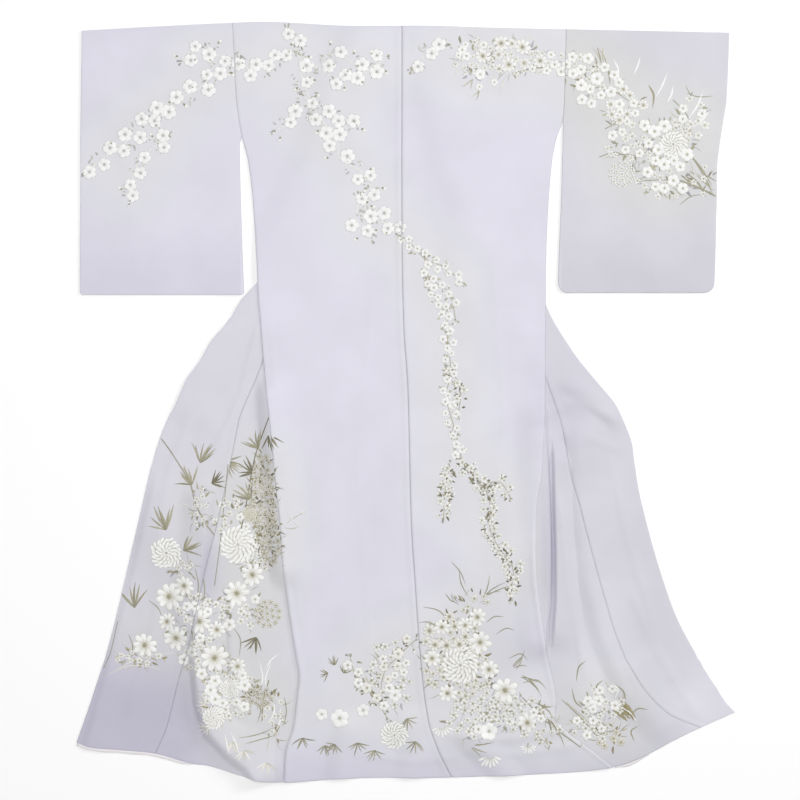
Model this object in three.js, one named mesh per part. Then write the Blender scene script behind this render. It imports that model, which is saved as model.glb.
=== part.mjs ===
// A lined silk houmongi kimono that lies flat with its back side up, both fronts fanned out from under it.
// Millimetres, +Z up. The wearer's left is at -X, the hem at -Y. "out" is a distance from the garment's
// middle towards a side, "down" a distance from the shoulder fold towards the hem.
import * as THREE from "three";

// Driving dimensions
const WALL = 1.5; // lined silk, face and lining as one wall
const LAYER_GAP = 0.8; // air between cloths that lie on each other
const SEAM_GAP = 0.4; // between pieces that are sewn edge to edge
const LENGTH = 1555; // shoulder fold to hem, down the side seam
const HEM_START = 1300; // from here on the rows bend to follow the hem
const COLLAR_WIDE = 55; // the band, folded double
const COLLAR_THICK = 2; // its two cloths pressed together
const COLLAR_INSET = 1.5; // how far the band lies inside the edge above it
const COLLAR_STEPS = 52; // sections along the band
const LIP = 8; // how far the back turns under at the shoulder fold
const LIP_CLEAR = 12; // where the fronts begin below that lip
const OKUMI_TIP = 250; // down, where the overlap panel starts as a point
const NECK_END = 72; // down, from where the collar follows the fronts' free edges
const COLLAR_END = 777; // down, where the collar ends on the overlap's edge
const SHOULDER_FADE = 150; // down, over which the shoulder's slant dies out
const STEP_RAMP = 45; // how far cloth takes to come down beside a layer
const COLLAR_RAMP = 60; // the same beside the collar band
const CREASE_FOOT = 18; // steep side of the front's main fold
const CLEAR = 14; // how far past a layer's edge the cloth above stays level
const LEVEL = 3; // how far inside a fold's edge the cloth above it is level again
const LEAST_LAP = 60; // the back's columns allow at least this much front underneath
const LEAST_MIDDLE = 20; // and this much flat cloth beside the centre seam
const ROLL_WIDE = 6; // the hem lining that rolls past the hem
const ROLL_CELL = 14; // length of a cell along it
const SLEEVE_EASE = 12; // down, over which the sleeve's sewn edge becomes its loose one
const TURN_STEPS = 4; // flat faces round a folded edge
// Cells across each panel. lap: over the front's hidden part. ramp: down its step. middle: on to the seam.
const CELLS = { lap: 6, ramp: 3, middle: 4, shown: 7, steep: 2, overlap: 5, sleeve: 4 };

const UP = new THREE.Vector3(0, 1, 0); // towards the shoulder
const HALF = WALL / 2;
const PITCH = WALL + LAYER_GAP;
const COLLAR_LIFT = COLLAR_THICK + LAYER_GAP;

// crease: where the front's main fold runs, as a share of the way from its turn to the overlap's seam.
// sections: distances out at each section down. side: side seam of the back. lap: outer edge of the front's
// hidden part. fold: where the front turns back outwards. okumi: the overlap's seam. edge: its free edge.
const LEFT = {
  sign: -1,
  crease: [
    { down: 0, share: 0.75 },
    { down: 1100, share: 0.8 },
    { down: 1215, share: 0.9 },
    { down: 1366, share: 0.8 },
    { down: 1425, share: 0.69 },
    { down: 1480, share: 0.56 },
    { down: 1555, share: 0.22 },
  ],
  sections: [
    { down: 0, side: 347, lap: 347, fold: 46, okumi: 58, edge: 58 },
    { down: 36, side: 345, lap: 345, fold: 62, okumi: 76, edge: 76 },
    { down: 72, side: 343, lap: 343, fold: 84, okumi: 100, edge: 100 },
    { down: 120, side: 341, lap: 341, fold: 98, okumi: 124, edge: 124 },
    { down: 175, side: 336, lap: 336, fold: 106, okumi: 138, edge: 138 },
    { down: 227, side: 327, lap: 327, fold: 112, okumi: 151, edge: 152 },
    { down: 274, side: 315, lap: 315, fold: 118, okumi: 164, edge: 172 },
    { down: 356, side: 305, lap: 305, fold: 128, okumi: 190, edge: 208 },
    { down: 480, side: 297, lap: 297, fold: 143, okumi: 229, edge: 270 },
    { down: 527, side: 295, lap: 295, fold: 148, okumi: 244, edge: 297 },
    { down: 562, side: 293, lap: 293, fold: 152, okumi: 254, edge: 328 },
    { down: 604, side: 289, lap: 289, fold: 157, okumi: 266, edge: 354 },
    { down: 645, side: 286, lap: 286, fold: 162, okumi: 276, edge: 389 },
    { down: 686, side: 283, lap: 283, fold: 167, okumi: 284, edge: 413 },
    { down: 727, side: 279, lap: 279, fold: 172, okumi: 300, edge: 442 },
    { down: 777, side: 274, lap: 274, fold: 177, okumi: 322, edge: 464 },
    { down: 810, side: 270, lap: 270, fold: 180, okumi: 334, edge: 482 },
    { down: 861, side: 265, lap: 265, fold: 183, okumi: 344, edge: 501 },
    { down: 933, side: 258, lap: 258, fold: 188, okumi: 359, edge: 521 },
    { down: 1016, side: 249, lap: 249, fold: 194, okumi: 377, edge: 540 },
    { down: 1110, side: 243, lap: 243, fold: 202, okumi: 401, edge: 562 },
    { down: 1220, side: 229, lap: 229, fold: 208, okumi: 425, edge: 588 },
    { down: 1300, side: 216, lap: 216, fold: 209, okumi: 444, edge: 609 },
    { down: 1335, side: 210, lap: 210, fold: 205, okumi: 453, edge: 617 },
    { down: 1374, side: 214, lap: 214, fold: 209, okumi: 461, edge: 626 },
    { down: 1442, side: 222, lap: 222, fold: 217, okumi: 474, edge: 641 },
    { down: 1489, side: 237, lap: 237, fold: 232, okumi: 484, edge: 652 },
    { down: 1555, side: 241, lap: 241, fold: 236, okumi: 506, edge: 668 },
  ],
};
const RIGHT = {
  sign: 1,
  crease: [
    { down: 0, share: 0.7 },
    { down: LENGTH, share: 0.7 },
  ],
  sections: [
    { down: 0, side: 340, lap: 340, fold: 46, okumi: 58, edge: 58 },
    { down: 36, side: 339, lap: 339, fold: 62, okumi: 76, edge: 76 },
    { down: 72, side: 338, lap: 338, fold: 84, okumi: 100, edge: 100 },
    { down: 120, side: 337, lap: 337, fold: 98, okumi: 124, edge: 124 },
    { down: 190, side: 333, lap: 333, fold: 108, okumi: 140, edge: 140 },
    { down: 233, side: 319, lap: 319, fold: 113, okumi: 151, edge: 152 },
    { down: 274, side: 311, lap: 311, fold: 118, okumi: 162, edge: 170 },
    { down: 356, side: 304, lap: 304, fold: 127, okumi: 186, edge: 205 },
    { down: 480, side: 298, lap: 298, fold: 144, okumi: 224, edge: 256 },
    { down: 570, side: 297, lap: 297, fold: 156, okumi: 250, edge: 297 },
    { down: 604, side: 297, lap: 297, fold: 160, okumi: 261, edge: 313 },
    { down: 645, side: 297, lap: 297, fold: 166, okumi: 273, edge: 338 },
    { down: 686, side: 297, lap: 297, fold: 173, okumi: 285, edge: 366 },
    { down: 727, side: 297, lap: 297, fold: 180, okumi: 299, edge: 400 },
    { down: 777, side: 296, lap: 297, fold: 188, okumi: 317, edge: 441 },
    { down: 810, side: 295, lap: 297, fold: 192, okumi: 328, edge: 457 },
    { down: 851, side: 293, lap: 299, fold: 198, okumi: 337, edge: 474 },
    { down: 892, side: 291, lap: 302, fold: 207, okumi: 344, edge: 480 },
    { down: 933, side: 288, lap: 305, fold: 217, okumi: 352, edge: 486 },
    { down: 974, side: 280, lap: 307, fold: 228, okumi: 364, edge: 494 },
    { down: 1053, side: 277, lap: 309, fold: 242, okumi: 385, edge: 514 },
    { down: 1131, side: 279, lap: 310, fold: 252, okumi: 406, edge: 537 },
    { down: 1200, side: 287, lap: 308, fold: 258, okumi: 426, edge: 561 },
    { down: 1240, side: 293, lap: 299, fold: 256, okumi: 438, edge: 579 },
    { down: 1300, side: 302, lap: 302, fold: 263, okumi: 461, edge: 611 },
    { down: 1345, side: 312, lap: 312, fold: 277, okumi: 476, edge: 623 },
    { down: 1400, side: 320, lap: 320, fold: 304, okumi: 495, edge: 638 },
    { down: 1440, side: 319, lap: 319, fold: 313, okumi: 513, edge: 650 },
    { down: 1475, side: 345, lap: 345, fold: 340, okumi: 532, edge: 659 },
    { down: 1515, side: 393, lap: 393, fold: 388, okumi: 562, edge: 671 },
    { down: 1555, side: 437, lap: 437, fold: 432, okumi: 616, edge: 688 },
  ],
};
// The centre-back seam wanders towards the wearer's right below the seat.
const CENTRE = [
  { down: 0, x: 2 },
  { down: 450, x: 2 },
  { down: 624, x: 6 },
  { down: 744, x: 14 },
  { down: 1016, x: 21 },
  { down: 1130, x: 28 },
  { down: 1310, x: 41 },
  { down: 1436, x: 57 },
  { down: 1500, x: 78 },
  { down: 1555, x: 104 },
];
const HEM = [
  { x: -668, down: 1473 },
  { x: -641, down: 1483 },
  { x: -599, down: 1487 },
  { x: -506, down: 1496 },
  { x: -435, down: 1516 },
  { x: -393, down: 1522 },
  { x: -311, down: 1547 },
  { x: -241, down: 1555 },
  { x: -105, down: 1547 },
  { x: 104, down: 1545 },
  { x: 348, down: 1535 },
  { x: 437, down: 1524 },
  { x: 472, down: 1514 },
  { x: 513, down: 1496 },
  { x: 554, down: 1473 },
  { x: 616, down: 1443 },
  { x: 688, down: 1411 },
];
const SHOULDER = [
  { x: -657, down: 8 },
  { x: -517, down: 0 },
  { x: -352, down: -8 },
  { x: -270, down: -10 },
  { x: -105, down: -2 },
  { x: 60, down: -2 },
  { x: 200, down: 2 },
  { x: 348, down: 5 },
  { x: 676, down: 12 },
];
// The collar's seam line from the back of the neck to the free edge.
const NECK = [
  { out: 0, down: 14 },
  { out: 40, down: 18 },
  { out: 76, down: 36 },
];
// Sleeves: where the cuff and the loose inner edge lie at each distance down, and the corners' radius.
const SLEEVES = [
  {
    name: "sleeve_left",
    side: LEFT,
    bottom: 551,
    sewnTo: 225,
    corner: 7,
    edges: [
      { down: 0, cuff: 657, inner: 331 },
      { down: 240, cuff: 660, inner: 332 },
      { down: 350, cuff: 660, inner: 330 },
      { down: 440, cuff: 661, inner: 327 },
      { down: 560, cuff: 661, inner: 323 },
    ],
  },
  {
    name: "sleeve_right",
    side: RIGHT,
    bottom: 547,
    sewnTo: 190,
    corner: 20,
    edges: [
      { down: 0, cuff: 676, inner: 333 },
      { down: 150, cuff: 670, inner: 333 },
      { down: 190, cuff: 664, inner: 334 },
      { down: 275, cuff: 652, inner: 332 },
      { down: 350, cuff: 650, inner: 330 },
      { down: 480, cuff: 647, inner: 325 },
      { down: 560, cuff: 644, inner: 323 },
    ],
  },
];
// The largest folds: a crest line, its height, and how far it spreads to its -X and +X side.
const FOLDS = [
  { name: "hip fold of the left front", high: 13, west: 16, east: 75,
    crest: [
      [-424, 1215], [-426, 1283], [-410, 1366], [-398, 1425], [-370, 1480], [-336, 1512], [-300, 1545],
    ] },
  { name: "seam roll of the left overlap", high: 9, west: 60, east: 26,
    crest: [[-398, 980], [-404, 1060], [-422, 1150], [-432, 1230]] },
  { name: "drape beside the left side seam", high: 6, west: 22, east: 34,
    crest: [[-348, 1190], [-347, 1290], [-336, 1400]] },
  { name: "soft roll beside the back's left edge", high: 7, west: 48, east: 46,
    crest: [[-330, 830], [-322, 980], [-306, 1130], [-292, 1240]] },
  { name: "pleat at the right side seam", high: 7, west: 70, east: 14,
    crest: [[294, 800], [300, 960], [303, 1080], [301, 1180], [296, 1260]] },
  { name: "roll of the right front", high: 10, west: 44, east: 60,
    crest: [[372, 900], [376, 1020], [392, 1140], [430, 1270]] },
  { name: "strain under the right collar end", high: 6, west: 26, east: 26,
    crest: [[362, 744], [395, 765], [432, 800]] },
  { name: "swell of the right hem", high: 9, west: 60, east: 70,
    crest: [[470, 1330], [500, 1390], [540, 1430]] },
  { name: "hem wave, right back", high: 6, west: 40, east: 40,
    crest: [[150, 1470], [200, 1520], [230, 1560]] },
  { name: "hem wave, middle", high: 5, west: 45, east: 45,
    crest: [[20, 1440], [30, 1500], [20, 1560]] },
  { name: "hem wave, left back", high: 5, west: 40, east: 45,
    crest: [[-110, 1450], [-120, 1505], [-125, 1560]] },
];
const FOLD_FADE = 55; // how far a fold takes to die out past each end of its crest

// Row sections down the body, closer where the cloth is folded.
const ROWS = [
  36, 72, 120, 175, 227, 274, 315, 356, 400, 440, 480, 527, 562, 604, 645, 686, 727, 777, 810, 851, 892, 933,
  985, 1053, 1110, 1165, 1215, 1260, 1300, 1335, 1374, 1405, 1440, 1475, 1515, 1555,
];
// The sleeves' rows stop above the rounded lower corners, whose rows lie at shares of a quarter turn.
const SLEEVE_ROWS = [18, 60, 120, 175, 227, 290, 350, 410, 470, 515];
const CORNER_TURNS = [0.3, 0.62, 1];
const COLOUR = {
  back: 0xdedee9,
  front: 0xd6d5df,
  okumi: 0xcfcedb,
  sleeve: 0xdddde6,
  collar: 0xe4e3ea,
  lining: 0xf1eef2,
};
const SATIN = { roughness: 0.62, metalness: 0 };

// Smooth curve through table rows: the value of column `to` at `x` of column `from`.
function along(table, from, to, x) {
  const last = table.length - 1;
  let i = 0;
  while (i < last - 1 && x > table[i + 1][from]) i++;
  const a = table[i];
  const b = table[i + 1];
  const slope = (p, q) => (table[q][to] - table[p][to]) / (table[q][from] - table[p][from]);
  const span = b[from] - a[from];
  const s = THREE.MathUtils.clamp((x - a[from]) / span, 0, 1);
  const m0 = slope(Math.max(i - 1, 0), i + 1) * span;
  const m1 = slope(i, Math.min(i + 2, last)) * span;
  const s2 = s * s;
  const s3 = s2 * s;
  const rise = 3 * s2 - 2 * s3;
  return a[to] * (1 - rise) + b[to] * rise + m0 * (s3 - 2 * s2 + s) + m1 * (s3 - s2);
}

const section = (side, column, row) => along(side.sections, "down", column, row);
const smooth = (edge0, edge1, x) => THREE.MathUtils.smoothstep(x, edge0, edge1);
const mix = THREE.MathUtils.lerp;

// How far down a point of row `row` lies, when its column meets the hem at x = hemX.
function downAt(row, x, hemX) {
  const slant = along(SHOULDER, "x", "down", x) * Math.max(0, 1 - row / SHOULDER_FADE);
  if (row <= HEM_START) return row + slant;
  const stretch = (along(HEM, "x", "down", hemX) - HEM_START) / (LENGTH - HEM_START);
  return HEM_START + (row - HEM_START) * stretch;
}

// The collar's seam line on one side, from the middle of the neck to its end.
function collarLine(side) {
  const neck = NECK.map((p) => new THREE.Vector2(p.out, p.down));
  const rows = ROWS.filter((row) => row > NECK_END && row <= COLLAR_END);
  return [...neck, ...rows.map((row) => new THREE.Vector2(section(side, "edge", row) - COLLAR_INSET, row))];
}
for (const side of [LEFT, RIGHT]) side.collar = collarLine(side);

// Nearest place on a crest or seam line: how far to its side, and how far past its ends.
function besideLine(points, x, y) {
  let best = null;
  for (let i = 0; i < points.length - 1; i++) {
    const a = points[i];
    const dx = points[i + 1].x - a.x;
    const dy = points[i + 1].y - a.y;
    const length = Math.hypot(dx, dy);
    const t = ((x - a.x) * dx + (y - a.y) * dy) / length;
    const near = THREE.MathUtils.clamp(t, 0, length);
    const distance = Math.hypot(x - a.x - (dx * near) / length, y - a.y - (dy * near) / length);
    if (best && distance >= best.distance) continue;
    const isPast = (i === 0 && t < 0) || (i === points.length - 2 && t > length);
    const past = isPast ? Math.abs(t - near) : 0;
    const across = ((x - a.x) * dy - (y - a.y) * dx) / length;
    best = { distance, across: past ? across : Math.sign(across) * distance, past };
  }
  return best;
}

// Lift of the largest folds over the floor.
function foldLift(x, down) {
  let lift = 0;
  for (const fold of FOLDS) {
    const line = fold.crest.map(([px, py]) => new THREE.Vector2(px, py));
    const { across, past } = besideLine(line, x, down);
    const reach = across > 0 ? fold.east : fold.west;
    const u = Math.abs(across) / reach;
    if (u >= 1 || past >= FOLD_FADE) continue;
    lift = Math.max(lift, fold.high * (1 - u * u) ** 2 * (1 - smooth(0, FOLD_FADE, past)));
  }
  return lift;
}

// Share of the collar's thickness that lies under a point.
function collarCover(x, down) {
  const side = x < 0 ? LEFT : RIGHT;
  const { across, past } = besideLine(side.collar, Math.abs(x), down);
  const outside = 1 - smooth(CLEAR, CLEAR + COLLAR_RAMP, across);
  const inside = 1 - smooth(COLLAR_WIDE + LEVEL, COLLAR_WIDE + LEVEL + COLLAR_RAMP, -across);
  const beyond = down > COLLAR_END ? 1 - smooth(LEVEL, COLLAR_RAMP, past) : 1;
  return outside * inside * beyond;
}

// Shares of the fronts' two layers that lie under a point of row `row`.
function outerCover(x, row) {
  const side = x < 0 ? LEFT : RIGHT;
  const out = Math.abs(x);
  const fold = section(side, "fold", row);
  const edge = section(side, "edge", row);
  const beyondEdge = smooth(edge + CLEAR, edge + CLEAR + COLLAR_RAMP, out);
  return smooth(fold - LEVEL - STEP_RAMP, fold - LEVEL, out) * (1 - beyondEdge);
}
function hiddenCover(x, row) {
  const fold = section(x < 0 ? LEFT : RIGHT, "fold", row);
  return smooth(fold - LEVEL - STEP_RAMP, fold - LEVEL, Math.abs(x));
}

const ground = (x, down) => foldLift(x, down) + COLLAR_LIFT * collarCover(x, down);
const outerHeight = (x, down) => HALF + ground(x, down);
const hiddenHeight = (x, down, row) => outerHeight(x, down) + PITCH * outerCover(x, row);
const backHeight = (x, down, row) => hiddenHeight(x, down, row) + PITCH * hiddenCover(x, row);

// A point of a panel: x from its two borders at this row, lying at the layer's height.
function place(x, hemX, row, height) {
  const down = downAt(row, x, hemX);
  return new THREE.Vector3(x, -down, height(x, down, row));
}

// A closed wall of even thickness round a grid of middle points.
function wall(name, colour, grid, thick = WALL) {
  const rows = grid.length;
  const columns = grid[0].length;
  const { clamp } = THREE.MathUtils;
  const at = (i, j) => grid[clamp(i, 0, rows - 1)][clamp(j, 0, columns - 1)];
  const points = [];
  for (const face of [1, -1]) {
    for (let i = 0; i < rows; i++) {
      for (let j = 0; j < columns; j++) {
        const acrossRow = at(i, j + 1).clone().sub(at(i, j - 1));
        const downColumn = at(i + 1, j).clone().sub(at(i - 1, j));
        const normal = acrossRow.cross(downColumn).normalize();
        points.push(at(i, j).clone().addScaledVector(normal, (face * thick) / 2));
      }
    }
  }
  const index = [];
  const id = (face, i, j) => face * rows * columns + i * columns + j;
  const quad = (a, b, c, d) => index.push(a, b, c, a, c, d);
  for (let i = 0; i < rows - 1; i++) {
    for (let j = 0; j < columns - 1; j++) {
      quad(id(0, i, j), id(0, i, j + 1), id(0, i + 1, j + 1), id(0, i + 1, j));
      quad(id(1, i, j), id(1, i + 1, j), id(1, i + 1, j + 1), id(1, i, j + 1));
    }
  }
  for (let i = 0; i < rows - 1; i++) {
    quad(id(0, i, 0), id(0, i + 1, 0), id(1, i + 1, 0), id(1, i, 0));
    quad(id(0, i + 1, columns - 1), id(0, i, columns - 1), id(1, i, columns - 1), id(1, i + 1, columns - 1));
  }
  for (let j = 0; j < columns - 1; j++) {
    quad(id(0, 0, j + 1), id(0, 0, j), id(1, 0, j), id(1, 0, j + 1));
    quad(id(0, rows - 1, j), id(0, rows - 1, j + 1), id(1, rows - 1, j + 1), id(1, rows - 1, j));
  }
  const geometry = new THREE.BufferGeometry().setFromPoints(points);
  geometry.setIndex(index);
  if (signedVolume(points, index) < 0) geometry.index.array.reverse();
  geometry.computeVertexNormals();
  const mesh = new THREE.Mesh(geometry, new THREE.MeshStandardMaterial({ color: colour, ...SATIN }));
  mesh.name = name;
  return mesh;
}

function signedVolume(points, index) {
  let sum = 0;
  for (let i = 0; i < index.length; i += 3) {
    sum += points[index[i]].dot(points[index[i + 1]].clone().cross(points[index[i + 2]]));
  }
  return sum / 6;
}

// Points of a half turn between two layers, from the lower to the upper one or the other way round.
function halfTurn(from, to, bulge) {
  const middle = from.clone().lerp(to, 0.5);
  const arm = from.clone().sub(middle);
  const points = [];
  for (let i = 1; i < TURN_STEPS; i++) {
    const angle = (Math.PI * i) / TURN_STEPS;
    const point = middle.clone().addScaledVector(arm, Math.cos(angle));
    points.push(point.addScaledVector(bulge, arm.length() * Math.sin(angle)));
  }
  return points;
}

// The same for a row of points at once, as one row for each step of the turn.
function turnRows(under, top, bulge) {
  const turns = under.map((point, j) => halfTurn(point, top[j], bulge));
  return turns[0].map((_, k) => turns.map((turn) => turn[k]));
}

const spread = (from, to, cells) => Array.from({ length: cells }, (_, i) => mix(from, to, i / cells));

// Where the back's columns lie: over the hidden front, down its ramp, then across to the centre seam.
function backColumns(side, row) {
  const seam = section(side, "side", row);
  const fold = Math.min(section(side, "fold", row), seam - LEAST_LAP);
  const centre = side.sign * along(CENTRE, "down", "x", row) + SEAM_GAP / 2;
  const foot = Math.max(fold - LEVEL - STEP_RAMP, centre + LEAST_MIDDLE);
  return [
    ...spread(seam, fold, CELLS.lap),
    ...spread(fold, foot, CELLS.ramp),
    ...spread(foot, centre, CELLS.middle),
    centre,
  ];
}

function backPanel(name, side) {
  const hem = backColumns(side, LENGTH);
  const x = (row) => backColumns(side, row).map((out) => side.sign * out);
  const first = ROWS[0] / 2;
  const rows = [first, ...ROWS].map((row) =>
    x(row).map((px, j) => place(px, side.sign * hem[j], row, backHeight)),
  );
  const top = x(0).map((px, j) => {
    const point = place(px, side.sign * hem[j], 0, backHeight);
    return point.setY(point.y - (point.z - HALF) / 2);
  });
  const under = top.map((point) => point.clone().setZ(HALF));
  const lip = under.map((point) => point.clone().setY(point.y - LIP));
  const turns = turnRows(under, top, UP);
  return wall(name, COLOUR.back, [lip, under, ...turns, top, ...rows]);
}

// The front: hidden from its lap inwards to the fold, then outwards again to the overlap's seam.
function frontPanel(name, side) {
  const inward = new THREE.Vector3(-side.sign, 0, 0);
  const outs = (row) => {
    const lap = section(side, "lap", row);
    const fold = section(side, "fold", row);
    const seam = section(side, "okumi", row) - SEAM_GAP / 2;
    const share = along(side.crease, "down", "share", row);
    const crease = mix(fold, seam, share);
    const foot = mix(fold, seam, Math.min(share + CREASE_FOOT / (seam - fold), (1 + share) / 2));
    return {
      hidden: [...spread(lap, fold, CELLS.lap), fold],
      shown: [
        ...spread(fold, crease, CELLS.shown),
        ...spread(crease, foot, CELLS.steep),
        ...spread(foot, seam, CELLS.steep),
        seam,
      ],
    };
  };
  const hem = outs(LENGTH);
  const grid = [LIP_CLEAR, ...ROWS].map((row) => {
    const { hidden, shown } = outs(row);
    const at = (out, hemOut, height) => place(side.sign * out, side.sign * hemOut, row, height);
    const upper = hidden.map((out, j) => at(out, hem.hidden[j], hiddenHeight));
    const lower = shown.map((out, j) => at(out, hem.shown[j], outerHeight));
    return [...upper, ...halfTurn(upper.at(-1), lower[0], inward), ...lower];
  });
  return wall(name, COLOUR.front, grid);
}

// The overlap panel, sewn on along the front and free at its outer edge.
function okumiPanel(name, side) {
  const outs = (row) => {
    const seam = section(side, "okumi", row) + SEAM_GAP / 2;
    const edge = section(side, "edge", row);
    return [...spread(seam, edge, CELLS.overlap), edge].map((out) => side.sign * out);
  };
  const hem = outs(LENGTH);
  const rows = [OKUMI_TIP, ...ROWS.filter((row) => row > OKUMI_TIP)];
  const grid = rows.map((row) => outs(row).map((x, j) => place(x, hem[j], row, outerHeight)));
  return wall(name, COLOUR.okumi, grid);
}

// Both layers of a sleeve round its shoulder fold, with rounded lower corners.
function sleeve({ name, side, bottom, sewnTo, corner, edges }) {
  const corners = CORNER_TURNS.map((turn) => bottom - corner * (1 - Math.sin((turn * Math.PI) / 2)));
  const downs = [...SLEEVE_ROWS, bottom - corner, ...corners];
  const outs = (down) => {
    const rise = Math.max(0, down - (bottom - corner));
    const inset = corner - Math.sqrt(Math.max(corner ** 2 - rise ** 2, 0));
    const sewn = section(side, "side", down) + SEAM_GAP / 2 + SEAM_GAP; // the back ends half a gap short
    const loose = along(edges, "down", "inner", down);
    const inner = mix(sewn, loose, smooth(sewnTo, sewnTo + SLEEVE_EASE, down)) + inset;
    const cuff = along(edges, "down", "cuff", down) - inset;
    return [...spread(inner, cuff, CELLS.sleeve), cuff].map((out) => side.sign * out);
  };
  const row = (down, height, lower = 0) =>
    outs(down).map((x) => new THREE.Vector3(x, -downAt(down, x, x) - lower, height));
  const layer = (height) => [row(0, height, PITCH / 2), ...downs.map((down) => row(down, height))];
  const under = layer(HALF);
  const upper = layer(HALF + PITCH);
  const turns = turnRows(under[0], upper[0], UP);
  return wall(name, COLOUR.sleeve, [...under.reverse(), ...turns, ...upper]);
}

// The collar band, from one overlap's edge round the back of the neck to the other.
function collarBand() {
  const line = [
    ...LEFT.collar.toReversed().map((p) => new THREE.Vector3(-p.x, -p.y, 0)),
    ...RIGHT.collar.slice(1).map((p) => new THREE.Vector3(p.x, -p.y, 0)),
  ];
  const curve = new THREE.CatmullRomCurve3(line, false, "centripetal");
  const grid = curve.getSpacedPoints(COLLAR_STEPS).map((point, i) => {
    const tangent = curve.getTangentAt(i / COLLAR_STEPS);
    const inward = new THREE.Vector3(tangent.y, -tangent.x, 0);
    point.setZ(COLLAR_THICK / 2);
    return [0, 0.5, 1].map((share) => point.clone().addScaledVector(inward, COLLAR_WIDE * share));
  });
  return wall("collar", COLOUR.collar, grid, COLLAR_THICK);
}

// The pale lining that shows as a narrow roll under a stretch of the hem.
function hemRoll(name, from, to) {
  const cells = Math.round((to - from) / ROLL_CELL);
  const grid = [...spread(from, to, cells), to].map((x) => {
    const hem = along(HEM, "x", "down", x) + 2 * SEAM_GAP;
    const height = HALF + foldLift(x, hem);
    return [0, 0.5, 1].map((share) => new THREE.Vector3(x, -(hem + ROLL_WIDE * share), height));
  });
  return wall(name, COLOUR.lining, grid);
}

const kimono = new THREE.Group();
kimono.name = "houmongi";
kimono.add(
  backPanel("back_left", LEFT),
  backPanel("back_right", RIGHT),
  frontPanel("front_left", LEFT),
  frontPanel("front_right", RIGHT),
  okumiPanel("okumi_left", LEFT),
  okumiPanel("okumi_right", RIGHT),
  ...SLEEVES.map(sleeve),
  collarBand(),
  hemRoll("hem_roll_left", -667, -430),
  hemRoll("hem_roll_right", 440, 512),
);
const box = new THREE.Box3().setFromObject(kimono);
kimono.position.set(-(box.min.x + box.max.x) / 2, -(box.min.y + box.max.y) / 2, -box.min.z);

const part = new THREE.Group();
part.add(kimono);
export default part;
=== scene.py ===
"""A lined silk houmongi kimono laid out flat, back side up, both fronts fanned out from under the back.

Places on the garment are (x, down) in millimetres: x across it, with the wearer's left at -x, and down from
the shoulder fold. to_frame() makes them the CAD frame's metres. "out" is a distance from the middle.
"""

import math
import random

import bpy
import numpy as np
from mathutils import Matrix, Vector
from mathutils.bvhtree import BVHTree


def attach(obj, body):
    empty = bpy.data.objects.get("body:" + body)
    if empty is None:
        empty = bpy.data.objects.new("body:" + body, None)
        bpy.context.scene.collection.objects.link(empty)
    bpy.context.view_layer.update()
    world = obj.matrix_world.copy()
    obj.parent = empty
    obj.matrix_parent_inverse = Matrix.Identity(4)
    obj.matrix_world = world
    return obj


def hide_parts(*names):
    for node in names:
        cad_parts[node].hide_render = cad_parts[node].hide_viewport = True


# Where the CAD frame's origin lies on the garment
ORIGIN_X = 10
ORIGIN_DOWN = 773

# Cloth
WALL = 1.0  # silk and lining as one shell
LAYER_GAP = 0.6  # air between cloths that lie on each other
LIFT = 0.2  # air under the lowest cloth
SEAM_GAP = 0.15
FOLD_STEPS = 6  # cells round a fold
LENGTH = 1555
HEM_START = 1300  # from here on the rows bend to follow the hem
SHOULDER_FADE = 150
COLLAR_WIDE = 55
COLLAR_THICK = 2
COLLAR_END = 777
OKUMI_TIP = 250
STEP_RAMP, STEP_START = 80, 3  # how far cloth takes to come down beside a layer
COLLAR_RAMP = 60
CLEAR = 14  # level stretch past the edge of a layer underneath
CELL = 7  # size of the meshes' cells
HEM_ROWS, COLLAR_ROWS = 36, 180
EDGE_CELLS = (0, 0.8, 2, 4, 7.5)  # closer columns beside a seam or an edge
BACK_COLUMNS, HIDDEN_COLUMNS, FRONT_COLUMNS, OKUMI_COLUMNS, SLEEVE_COLUMNS = 54, 12, 84, 34, 46
HEM_ROUND = 6  # how far in from the hem the cloth turns down

HALF = WALL / 2 + LIFT
PITCH = WALL + LAYER_GAP
COLLAR_LIFT = COLLAR_THICK + 0.8


def srgb(*rgb):
    """A colour given in 0-255 display values, as linear light."""
    return np.array([(c / 255 / 12.92) if c <= 10 else ((c / 255 + 0.055) / 1.055) ** 2.4 for c in rgb])


WHITE, IVORY, CREAM = srgb(238, 238, 237), srgb(232, 231, 226), srgb(222, 219, 208)
GREY, SHADE = srgb(168, 166, 172), srgb(190, 189, 182)
KHAKI, OLIVE, DARK, GOLD = srgb(184, 180, 160), srgb(157, 153, 129), srgb(124, 119, 95), srgb(154, 145, 112)
THREADS = {"WHITE": WHITE, "CREAM": CREAM, "KHAKI": KHAKI, "OLIVE": OLIVE, "DARK": DARK, "GOLD": GOLD}


def typed(text):
    """A table typed as text: rows of numbers and names, ended by a comma or a new line."""
    cells = [row.split() for row in text.replace("\n", ",").split(",")]
    return [[THREADS.get(c, c) if c[0].isalpha() else float(c) for c in row] for row in cells if row]


def table(text):
    """Named columns as arrays."""
    names, *values = typed(text)
    return dict(zip(names, np.array(values).T))


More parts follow.
